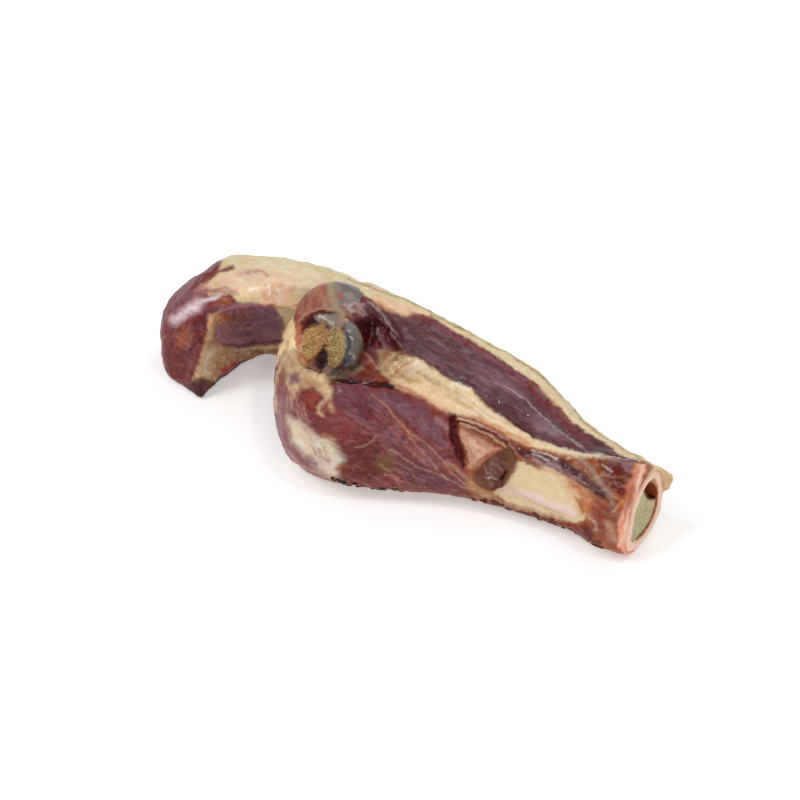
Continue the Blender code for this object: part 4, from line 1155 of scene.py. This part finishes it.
@dataclass
class Coat:
    """The painted colour, tissue and relief of a surface."""

    surface: Surface
    mottle_stretch: Triple = (0.45, 1.0, 1.0)
    mottle_edge: float = 0.45
    colour: np.ndarray = field(init=False)
    tissue: np.ndarray = field(init=False)
    lift: np.ndarray = field(init=False)

    def __post_init__(self) -> None:
        """Starts from a bare surface."""
        count = len(self.surface.places)
        self.colour = np.zeros((count, 3))
        self.tissue = np.zeros((count, len(TISSUE_FIELDS)))
        self.lift = np.zeros(count)

    def amount_of(self, tissue: str) -> np.ndarray:
        """How much of a kind of tissue each point has."""
        return self.tissue[:, TISSUE_FIELDS.index(tissue)]

    def lay(self, tone: Tone, amount: np.ndarray) -> None:
        """Lays a tone over what is there, by an amount from 0 to 1 at each point."""
        colour, tissue = tone.value
        share = amount[:, None]
        self.colour += share * (linear(colour) - self.colour)
        self.tissue += share * (np.array(tissue.value) - self.tissue)

    def lay_all(self, tone: Tone) -> None:
        """Covers the whole surface with a tone."""
        self.lay(tone, np.ones(len(self.surface.places)))

    def paint(self, marks: tuple[Mark, ...]) -> None:
        """Lays the marks one after another and adds up their relief."""
        for mark in marks:
            cover = self.surface.cover(mark)
            self.lay(mark.tone, cover * mark.strength)
            self.lift += cover * mark.lift * MM

    def mottle(self, mottles: tuple[Mottle, ...]) -> None:
        """Lays cloudy spots, drawn out along the fibres."""
        for spots in mottles:
            clouds = Uneven(spots.size, spots.seed, stretch=self.mottle_stretch).at(self.surface.places)
            share = np.clip(self.amount_of(spots.tissue), 0.0, 1.0)
            self.lay(spots.tone, smooth_step(clouds, 0.0, self.mottle_edge) * share * spots.amount)

    def store(self) -> None:
        """Writes the colour and the tissue fields to the mesh."""
        mesh = self.surface.thing.data
        count = len(self.colour)
        tint = mesh.attributes.new("tint", "FLOAT_COLOR", "POINT")
        tint.data.foreach_set("color", np.column_stack([self.colour, np.ones(count)]).ravel())
        for name in TISSUE_FIELDS:
            layer = mesh.attributes.new(name, "FLOAT", "POINT")
            layer.data.foreach_set("value", self.amount_of(name).copy())


class Graph:
    """A short way to write a material's nodes."""

    def __init__(self, name: str) -> None:
        """Starts a material with a Principled shader."""
        self.material = bpy.data.materials.new(name)
        self.material.use_nodes = True
        self.tree = self.material.node_tree
        self.shader = self.tree.nodes["Principled BSDF"]
        self.position = self.node("ShaderNodeTexCoord").outputs["Object"]

    def node(self, kind: str, **settings: object) -> bpy.types.Node:
        """A new node with its settings."""
        made = self.tree.nodes.new(kind)
        for key, value in settings.items():
            setattr(made, key, value)
        return made

    def feed(self, socket: bpy.types.NodeSocket, value: object) -> None:
        """Links an output to a socket, or sets the socket to a plain value."""
        if isinstance(value, bpy.types.NodeSocket):
            self.tree.links.new(value, socket)
        else:
            socket.default_value = value

    def fill(self, node: bpy.types.Node, **values: object) -> None:
        """Feeds the inputs of a node by name, with _ for each space in a name."""
        for name, value in values.items():
            self.feed(node.inputs[name.replace("_", " ")], value)

    def attribute(self, name: str, output: str = "Fac") -> bpy.types.NodeSocket:
        """A field that is stored on the mesh."""
        return self.node("ShaderNodeAttribute", attribute_name=name).outputs[output]

    def math(self, operation: str, first: object, second: object) -> bpy.types.NodeSocket:
        """The result of a sum, product or other operation on two values."""
        made = self.node("ShaderNodeMath", operation=operation)
        self.feed(made.inputs[0], first)
        self.feed(made.inputs[1], second)
        return made.outputs[0]

    def stretched(self, scale: Triple, turn: float = 0.0) -> bpy.types.NodeSocket:
        """Object coordinates, scaled along each axis after a turn about Y, in degrees."""
        made = self.node("ShaderNodeMapping")
        self.fill(made, Vector=self.position, Rotation=(0.0, math.radians(turn), 0.0), Scale=scale)
        return made.outputs[0]

    def noise(self, vector: object, scale: float, detail: float,
              roughness: float = 0.55) -> bpy.types.NodeSocket:
        """Cloudy noise, from about 0.25 to 0.75."""
        made = self.node("ShaderNodeTexNoise")
        self.fill(made, Vector=vector, Scale=scale, Detail=detail, Roughness=roughness)
        return made.outputs["Fac"]

    def cells(self, scale: float) -> bpy.types.NodeSocket:
        """Distance from the middle of uneven cells."""
        made = self.node("ShaderNodeTexVoronoi", feature="F1")
        self.fill(made, Vector=self.position, Scale=scale)
        return made.outputs["Distance"]

    def spread(self, value: object, low: float, high: float, to_low: float = 0.0,
               to_high: float = 1.0) -> bpy.types.NodeSocket:
        """A value moved from one range to another and held within it."""
        made = self.node("ShaderNodeMapRange")
        self.fill(made, Value=value, From_Min=low, From_Max=high, To_Min=to_low, To_Max=to_high)
        return made.outputs["Result"]

    def tint(self, amount: object, below: object, above: object, mode: str) -> bpy.types.NodeSocket:
        """One colour laid over another by an amount."""
        made = self.node("ShaderNodeMix", data_type="RGBA", blend_type=mode)
        self.feed(made.inputs["Factor"], amount)
        colours = [socket for socket in made.inputs if socket.type == "RGBA"]
        self.feed(colours[0], below)
        self.feed(colours[1], above)
        return next(socket for socket in made.outputs if socket.type == "RGBA")


@dataclass(frozen=True)
class CuredFinish:
    """The finish of meat, fat, rind and bone, by the tissue fields on the mesh.

    Scales of patterns are in cells for each metre.
    """

    name: str
    fibre_scale: Triple = (130.0, 900.0, 900.0)
    fibre_turn: float = 12.0
    fibre_detail: float = 5.0
    fibre_roughness: float = 0.7
    cloud_scale: float = 260.0
    cloud_detail: float = 4.0
    cloud_middle: float = 0.5
    grain_scale: float = 1500.0
    grain_detail: float = 3.0
    blot_scale: float = 45.0
    blot_detail: float = 5.0
    pore_scale: float = 900.0
    hole_scale: float = 1150.0
    hole_range: Range = (0.1, 0.5)
    wrinkle_scale: Triple = (300.0, 110.0, 110.0)
    wrinkle_detail: float = 4.0
    dull: float = 0.62
    glossy: float = 0.26
    patchiness: float = 0.5
    coat: float = 0.24
    coat_roughness: float = 0.07
    shine: float = 0.02
    glow: float = 0.12
    glow_radius: Triple = (1.0, 0.4, 0.25)
    glow_scale: float = 0.0025
    relief: float = 0.35 * MM
    fibre_height: float = 1.1
    cloud_height: float = 0.9
    grain_height: float = 0.22
    hole_height: float = 1.6

    def build(self) -> bpy.types.Material:
        """The material."""
        graph = Graph(self.name)
        tissues = {name: graph.attribute(name) for name in TISSUE_FIELDS}
        patterns = self.patterns(graph)
        dullness = graph.spread(tissues["gloss"], 0.0, 1.0, self.dull, self.glossy)
        clouds = graph.math("SUBTRACT", patterns["clouds"], self.cloud_middle)
        patchy = graph.math("MULTIPLY", clouds, self.patchiness)
        bump = graph.node("ShaderNodeBump")
        graph.fill(bump, Strength=1.0, Distance=self.relief, Height=self.height(graph, tissues, patterns))
        graph.fill(graph.shader, Base_Color=self.colour(graph, tissues, patterns),
                   Roughness=graph.math("ADD", dullness, patchy), Normal=bump.outputs["Normal"],
                   Specular_IOR_Level=self.shine, Coat_Weight=self.coat,
                   Coat_Roughness=self.coat_roughness, Subsurface_Weight=self.glow,
                   Subsurface_Radius=self.glow_radius, Subsurface_Scale=self.glow_scale)
        return graph.material

    def patterns(self, graph: Graph) -> Sockets:
        """The patterns that colour and bump share, by name."""
        stretched = graph.stretched(self.fibre_scale, self.fibre_turn)
        return {
            "strands": graph.noise(stretched, 1.0, self.fibre_detail, self.fibre_roughness),
            "clouds": graph.noise(graph.position, self.cloud_scale, self.cloud_detail),
            "grain": graph.noise(graph.position, self.grain_scale, self.grain_detail),
            "blots": graph.noise(graph.position, self.blot_scale, self.blot_detail),
            "pores": graph.cells(self.pore_scale),
            "holes": graph.cells(self.hole_scale),
        }

    def colour(self, graph: Graph, tissues: Sockets, patterns: Sockets) -> bpy.types.NodeSocket:
        """The painted colour with streaks of muscle, mottled fat, pores of rind and holes of bone."""
        colour = graph.attribute("tint", "Color")
        for stain in STAINS:
            share = graph.spread(patterns[stain.pattern], stain.low, stain.high)
            if stain.tissue:
                share = graph.math("MULTIPLY", share, tissues[stain.tissue])
            amount = graph.math("MULTIPLY", share, stain.amount)
            colour = graph.tint(amount, colour, stain.hue, stain.mode)
        return colour

    def height(self, graph: Graph, tissues: Sockets, patterns: Sockets) -> bpy.types.NodeSocket:
        """The bump of each tissue, added up."""
        strong = graph.math("MULTIPLY", tissues["fibre"], self.fibre_height)
        total = graph.math("MULTIPLY", patterns["strands"], strong)
        wrinkles = graph.noise(graph.stretched(self.wrinkle_scale), 1.0, self.wrinkle_detail)
        leather = graph.math("ADD", wrinkles, patterns["pores"])
        deep = graph.math("MULTIPLY", tissues["sponge"], self.hole_height)
        parts = (
            graph.math("MULTIPLY", patterns["clouds"], self.cloud_height),
            graph.math("MULTIPLY", patterns["grain"], self.grain_height),
            graph.math("MULTIPLY", leather, tissues["rind"]),
            graph.math("MULTIPLY", graph.spread(patterns["holes"], *self.hole_range), deep),
        )
        for part in parts:
            total = graph.math("ADD", total, part)
        return total


def tree_of(thing: bpy.types.Object) -> BVHTree:
    """The faces of an object, ready for rays."""
    builder = bmesh.new()
    builder.from_mesh(thing.data)
    tree = BVHTree.FromBMesh(builder)
    builder.free()
    return tree


def mesh_of(builder: bmesh.types.BMesh, name: str) -> bpy.types.Mesh:
    """A mesh with the faces of a builder, which is then freed."""
    mesh = bpy.data.meshes.new(name)
    builder.to_mesh(mesh)
    builder.free()
    return mesh


def added(name: str, mesh: bpy.types.Mesh) -> bpy.types.Object:
    """A new object with a mesh, linked to the scene."""
    thing = bpy.data.objects.new(name, mesh)
    bpy.context.scene.collection.objects.link(thing)
    return thing


@dataclass
class DressedSolid:
    """What meat, bone and marrow share: a solid's copy with fine faces, painted and raised.

    Hiders are the other solids that can hide its points from the camera.
    """

    camera: PhotoCamera
    nodes: dict[str, bpy.types.Object]
    node: str
    name: str
    hiders: tuple[str, ...]
    finish: CuredFinish
    voxel: float
    smoothing: int
    hides_itself: bool = True
    marks: tuple[Mark, ...] = ()
    mottles: tuple[Mottle, ...] = ()
    evening: float = 0.5

    def build(self) -> Surface:
        """Makes the mesh, paints it and raises its relief.

        Returns:
            The surface, with the finished piece.
        """
        thing = self.fine_copy()
        surface = Surface(thing, self.camera)
        trees = [tree_of(self.nodes[name]) for name in self.hiders]
        if self.hides_itself:
            trees.append(tree_of(thing))
        surface.look(trees)
        coat = Coat(surface)
        self.lay_ground(coat)
        coat.paint(self.marks)
        coat.mottle(self.mottles)
        self.lay_top(coat)
        surface.raise_by(self.relief(coat))
        coat.store()
        thing.data.materials.clear()
        thing.data.materials.append(self.finish.build())
        return surface

    def fine_copy(self) -> bpy.types.Object:
        """A copy of the solid with an even mesh of small faces, smoothed a little."""
        builder = bmesh.new()
        builder.from_mesh(self.nodes[self.node].data)
        thing = added(self.name, mesh_of(builder, self.name))
        grid = thing.modifiers.new("even faces", "REMESH")
        grid.mode = "VOXEL"
        grid.voxel_size = self.voxel
        soft = thing.modifiers.new("soften", "SMOOTH")
        soft.factor = self.evening
        soft.iterations = self.smoothing
        graph = bpy.context.evaluated_depsgraph_get()
        shaped = bpy.data.meshes.new_from_object(thing.evaluated_get(graph))
        thing.modifiers.clear()
        thing.data = shaped
        shaped.shade_smooth()
        return thing

    def lay_ground(self, coat: Coat) -> None:
        """Lays what is below all marks."""
        raise NotImplementedError

    def lay_top(self, coat: Coat) -> None:
        """Lays what is above all marks: nothing, unless a piece says otherwise."""

    def relief(self, coat: Coat) -> np.ndarray:
        """How far each point is raised, in metres."""
        raise NotImplementedError


@dataclass
class CuredMeat(DressedSolid):
    """The meat with its fat and rind.

    Ranges are the values at which a tone starts and at which it is full. The fat, the rind and the
    edges go by how far a point faces the carved side, the others by its place in metres.
    """

    node: str = "meat"
    name: str = "cured_meat"
    hiders: tuple[str, ...] = ("bone", "marrow")
    finish: CuredFinish = CuredFinish("cured_meat")
    voxel: float = 0.72 * MM
    smoothing: int = 6
    marks: tuple[Mark, ...] = MEAT_MARKS
    mottles: tuple[Mottle, ...] = MEAT_MOTTLES
    humps: Uneven = Uneven(9.0 * MM, 3.0, 0.50 * MM)
    pits: Uneven = Uneven(2.2 * MM, 7.0, 0.20 * MM)
    wrinkles: Uneven = Uneven(4.0 * MM, 13.0, 0.45 * MM, (1.0, 0.35, 0.35))
    borders: Uneven = Uneven(7.0 * MM, 11.0, 0.10)
    streaks: Uneven = Uneven(6.0 * MM, 5.0, stretch=(0.4, 1.0, 1.0))
    streak_range: Range = (0.0, 0.5)
    streak_strength: float = 0.7
    hood_streak_strength: float = 0.5
    carved_side: Triple = (0.0, -0.7071, 0.7071)
    top_range: Range = (0.3, 0.8)
    fat_range: Range = (0.45, 0.2)
    rind_edge_range: Range = (0.0, -0.14)
    rind_back_range: Range = (-0.18, -0.6)
    flap_turn_range: Range = (0.55, 0.25)
    flap_end_range: Range = (-0.096, -0.112)
    flap_end_stray: float = 0.02
    hollow_middle: float = -0.0072
    hollow_half: float = 0.0385
    hollow_top: float = 0.0505
    hollow_wall_range: Range = (1.5, 1.25)
    hollow_mouth_range: Range = (-0.034, -0.042)
    knuckle_range: Range = (0.05, 0.04)
    rim_range: Range = (2.4 * MM, 0.8 * MM)

    def lay_ground(self, coat: Coat) -> None:
        """Lays lean meat on the carved side, fat at its far edge, and rind behind and below."""
        places = coat.surface.places
        normals = coat.surface.normals
        toward = normals @ np.array(self.carved_side)
        uneven = self.borders.at(places)
        streaked = smooth_step(self.streaks.at(places), *self.streak_range)
        topside = smooth_step(normals[:, 1] + normals[:, 2], *self.top_range)
        enclosed = self.enclosed(places)
        turned = smooth_step(normals[:, 1], *self.flap_turn_range)
        hood = turned * smooth_step(places[:, 0] + self.flap_end_stray * uneven, *self.flap_end_range)
        skin = (1.0 - enclosed) * (1.0 - hood)
        coat.lay_all(Tone.LEAN_RED)
        coat.lay(Tone.LEAN_PURPLE, streaked * self.streak_strength)
        coat.lay(Tone.FAT_YELLOW, topside * smooth_step(toward + uneven, *self.fat_range))
        coat.lay(Tone.RIND_EDGE, skin * smooth_step(toward - uneven, *self.rind_edge_range))
        coat.lay(Tone.RIND_BACK, skin * smooth_step(toward - uneven, *self.rind_back_range))
        coat.lay(Tone.LEAN_PURPLE, enclosed)
        coat.lay(Tone.HOOD, hood)
        coat.lay(Tone.LEAN_PURPLE, hood * streaked * self.hood_streak_strength)
        self.lay_rim(coat)

    def enclosed(self, places: np.ndarray) -> np.ndarray:
        """How far each point belongs to the walls of the hollow under the flap."""
        across = np.abs(places[:, 1] - self.hollow_middle) / self.hollow_half
        upward = np.abs(places[:, 2]) / self.hollow_top
        within = smooth_step(across ** 3 + upward ** 3, *self.hollow_wall_range)
        return within * smooth_step(places[:, 0], *self.hollow_mouth_range)

    def lay_rim(self, coat: Coat) -> None:
        """Lays brown lean next to the knuckle, as painted shade in the gap under it, and cream next to the
        rest of the bone.
        """
        places = coat.surface.places
        bone = tree_of(self.nodes["bone"])
        gaps = np.array([bone.find_nearest(Vector(place))[3] for place in places])
        rim = smooth_step(gaps, *self.rim_range)
        knuckle = smooth_step(places[:, 0], *self.knuckle_range)
        # The brown next to the knuckle is painted shade in the gap between the meat and the knuckle.
        coat.lay(Tone.BROWN_RED, rim * knuckle)
        coat.lay(Tone.BONE_CREAM, rim * (1.0 - knuckle))

    def relief(self, coat: Coat) -> np.ndarray:
        """Humps and pits everywhere, and wrinkles on the rind."""
        places = coat.surface.places
        wrinkles = self.wrinkles.at(places) * coat.amount_of("rind")
        return coat.lift + self.humps.at(places) + self.pits.at(places) + wrinkles


@dataclass
class DriedScraps:
    """Dark dried scraps that cling to the lower edge of the meat.

    Slimness and flatness are shares of a scrap's length, and stray is how far it turns.
    """

    surface: Surface
    camera: PhotoCamera
    seed: int = 5
    length: Range = (0.7 * MM, 1.9 * MM)
    slimness: float = 0.42
    flatness: float = 0.34
    roughness: float = 0.30
    stray: float = 0.45
    least_cover: float = 0.3
    fineness: int = 2

    def build(self) -> bpy.types.Object:
        """Makes the scraps, spread along the edges that carry them.

        Returns:
            The finished piece.
        """
        draw = np.random.default_rng(self.seed)
        ball = bmesh.new()
        bmesh.ops.create_icosphere(ball, subdivisions=self.fineness, radius=1.0)
        form = np.array([vert.co for vert in ball.verts])
        faces = np.array([[vert.index for vert in face.verts] for face in ball.faces])
        ball.free()
        places, corners, tones = [], [], []
        for mark, count in SCRAP_EDGES:
            spots = np.nonzero(self.surface.cover(mark) > self.least_cover)[0]
            for spot in draw.choice(spots, size=min(count, len(spots)), replace=False):
                corners.append(faces + len(places) * len(form))
                places.append(self.scrap(draw, form, spot))
                tones += [mark.tone] * len(form)
        mesh = bpy.data.meshes.new("dried_scraps")
        mesh.from_pydata(np.concatenate(places).tolist(), [], np.concatenate(corners).tolist())
        mesh.shade_smooth()
        thing = added("dried_scraps", mesh)
        coat = Coat(Surface(thing, self.camera))
        for tone in dict.fromkeys(tones):
            coat.lay(tone, np.array([float(worn is tone) for worn in tones]))
        coat.store()
        mesh.materials.append(CuredFinish("dried_scraps").build())
        return thing

    def scrap(self, draw: np.random.Generator, form: np.ndarray, spot: int) -> np.ndarray:
        """The points of one scrap, laid on the surface at one of its points."""
        long = draw.uniform(*self.length)
        lumps = 1.0 + draw.uniform(-self.roughness, self.roughness, (len(form), 1))
        points = form * lumps * np.array([1.0, self.slimness, self.flatness]) * long
        up = self.surface.normals[spot]
        along = np.array([1.0, 0.0, 0.0]) + draw.normal(0.0, self.stray, 3)
        side = np.cross(up, along)
        side /= np.linalg.norm(side)
        return self.surface.places[spot] + points @ np.array([np.cross(side, up), side, up])


@dataclass
class ShinBone(DressedSolid):
    """The bone: its bare knuckle, the side that shows in the meat, and the sawn ring.

    Growth keeps it a little proud of the meat where the two meet.
    """

    node: str = "bone"
    name: str = "shin_bone"
    hiders: tuple[str, ...] = ("meat", "marrow")
    finish: CuredFinish = CuredFinish("shin_bone", glow=0.2, coat=0.35)
    voxel: float = 0.55 * MM
    smoothing: int = 4
    marks: tuple[Mark, ...] = BONE_MARKS
    mottles: tuple[Mottle, ...] = BONE_MOTTLES
    growth: float = 0.60 * MM
    humps: Uneven = Uneven(5.0 * MM, 9.0, 0.25 * MM)
    pits: Uneven = Uneven(1.1 * MM, 2.0, 0.60 * MM)
    blotches: Uneven = Uneven(5.0 * MM, 1.0)
    blotch_range: Range = (-0.2, 0.4)
    blotch_strength: float = 0.8
    head_range: Range = (0.0, -0.01)
    cut_facing_range: Range = (0.5, 0.8)
    cut_place_range: Range = (0.126, 0.129)

    def lay_ground(self, coat: Coat) -> None:
        """Lays plain bone, and dark blotched cartilage on the knuckle."""
        places = coat.surface.places
        head = smooth_step(places[:, 0], *self.head_range)
        blotched = smooth_step(self.blotches.at(places), *self.blotch_range)
        coat.lay_all(Tone.BONE_PLAIN)
        coat.lay(Tone.DOME_DARK, head)
        coat.lay(Tone.GREY_TISSUE, head * blotched * self.blotch_strength)

    def lay_top(self, coat: Coat) -> None:
        """Lays the pale sawn face."""
        facing = smooth_step(coat.surface.normals[:, 0], *self.cut_facing_range)
        coat.lay(Tone.RING_PALE, facing * smooth_step(coat.surface.places[:, 0], *self.cut_place_range))

    def relief(self, coat: Coat) -> np.ndarray:
        """Humps everywhere, and pits in the spongy bone."""
        places = coat.surface.places
        pits = self.pits.at(places) * coat.amount_of("sponge")
        return coat.lift + self.humps.at(places) + pits + self.growth


@dataclass
class Marrow(DressedSolid):
    """The waxy marrow, pitted and stained at its lower edge, with a slot along its top."""

    node: str = "marrow"
    name: str = "bone_marrow"
    hiders: tuple[str, ...] = ("bone",)
    finish: CuredFinish = CuredFinish("bone_marrow", glow=0.25, coat=0.1)
    voxel: float = 0.40 * MM
    smoothing: int = 4
    hides_itself: bool = False
    marks: tuple[Mark, ...] = SLOT_MARKS
    pits: Uneven = Uneven(1.6 * MM, 4.0, 0.30 * MM)
    clouds: Uneven = Uneven(2.4 * MM, 8.0)
    cloud_range: Range = (0.1, 0.5)
    cloud_strength: float = 0.7
    specks: Uneven = Uneven(1.0 * MM, 6.0)
    speck_range: Range = (0.35, 0.6)
    speck_strength: float = 0.8

    def lay_ground(self, coat: Coat) -> None:
        """Lays marrow with paler clouds and dark specks."""
        places = coat.surface.places
        cloudy = smooth_step(self.clouds.at(places), *self.cloud_range)
        speckled = smooth_step(self.specks.at(places), *self.speck_range)
        coat.lay_all(Tone.MARROW)
        coat.lay(Tone.MARROW_PALE, cloudy * self.cloud_strength)
        coat.lay(Tone.MARROW_STAIN, speckled * self.speck_strength)

    def relief(self, coat: Coat) -> np.ndarray:
        """Small pits."""
        return self.pits.at(coat.surface.places)


@dataclass(frozen=True)
class SoftLight:
    """A soft square light that shines at the piece, by its width in metres and power in watts."""

    name: str
    place: Triple
    width: float
    power: float

    def build(self) -> None:
        """Adds the light to the scene."""
        lamp = bpy.data.lights.new(self.name, "AREA")
        lamp.energy = self.power
        lamp.size = self.width
        thing = bpy.data.objects.new(self.name, lamp)
        thing.location = self.place
        thing.rotation_euler = Vector(self.place).to_track_quat("Z", "Y").to_euler()
        bpy.context.scene.collection.objects.link(thing)


@dataclass(frozen=True)
class Studio:
    """A pale floor and soft studio light."""

    floor_size: float = 6.0
    floor_drop: float = 0.5 * MM
    floor_grey: float = 0.86
    floor_roughness: float = 0.9
    floor_glow: float = 0.28
    lights: tuple[SoftLight, ...] = (
        SoftLight("key_light", (-0.55, -0.75, 1.15), 0.55, 7.6),
        SoftLight("fill_light", (0.95, -0.85, 0.65), 0.90, 4.4),
        SoftLight("rim_light", (0.10, 0.95, 0.95), 0.70, 4.0),
        SoftLight("spark_light_left", (-0.30, -0.35, 1.35), 0.08, 1.4),
        SoftLight("spark_light_right", (0.55, -0.10, 1.20), 0.08, 1.4),
    )
    sky: float = 0.43
    white: Hue = (1.0, 1.0, 1.0, 1.0)

    def build(self) -> None:
        """Adds the floor, the lights and the pale surroundings."""
        bpy.context.scene.view_settings.view_transform = "Standard"
        self.floor()
        for light in self.lights:
            light.build()
        world = bpy.data.worlds.new("studio")
        world.use_nodes = True
        backdrop = world.node_tree.nodes["Background"]
        backdrop.inputs["Color"].default_value = self.white
        backdrop.inputs["Strength"].default_value = self.sky
        bpy.context.scene.world = world

    def floor(self) -> None:
        """Adds the floor just below the piece."""
        builder = bmesh.new()
        bmesh.ops.create_grid(builder, x_segments=1, y_segments=1, size=self.floor_size / 2)
        floor = added("floor", mesh_of(builder, "floor"))
        floor.location.z = -self.floor_drop
        graph = Graph("floor")
        graph.fill(graph.shader, Base_Color=(self.floor_grey,) * 3 + (1.0,),
                   Roughness=self.floor_roughness, Emission_Color=self.white,
                   Emission_Strength=self.floor_glow)
        floor.data.materials.append(graph.material)


def mount(piece: bpy.types.Object, nodes: tuple[str, ...]) -> None:
    """Fixes a piece to the body, in place of its solids, and logs how many faces it has."""
    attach(piece, BODY)
    if nodes:
        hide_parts(*nodes)
    LOG.info("%s: %d faces", piece.name, len(piece.data.polygons))


def main() -> None:
    """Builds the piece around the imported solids, with the same wobble in every run."""
    logging.basicConfig(level=logging.INFO)
    noise.seed_set(WOBBLE_SEED)
    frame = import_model()
    nodes = frame["nodes"]
    camera = PhotoCamera()
    camera.place()
    Studio().build()
    meat = CuredMeat(camera, nodes).build()
    mount(meat.thing, ("meat",))
    mount(DriedScraps(meat, camera).build(), ())
    mount(ShinBone(camera, nodes).build().thing, ("bone",))
    mount(Marrow(camera, nodes).build().thing, ("marrow",))


if __name__ == "__main__":
    main()
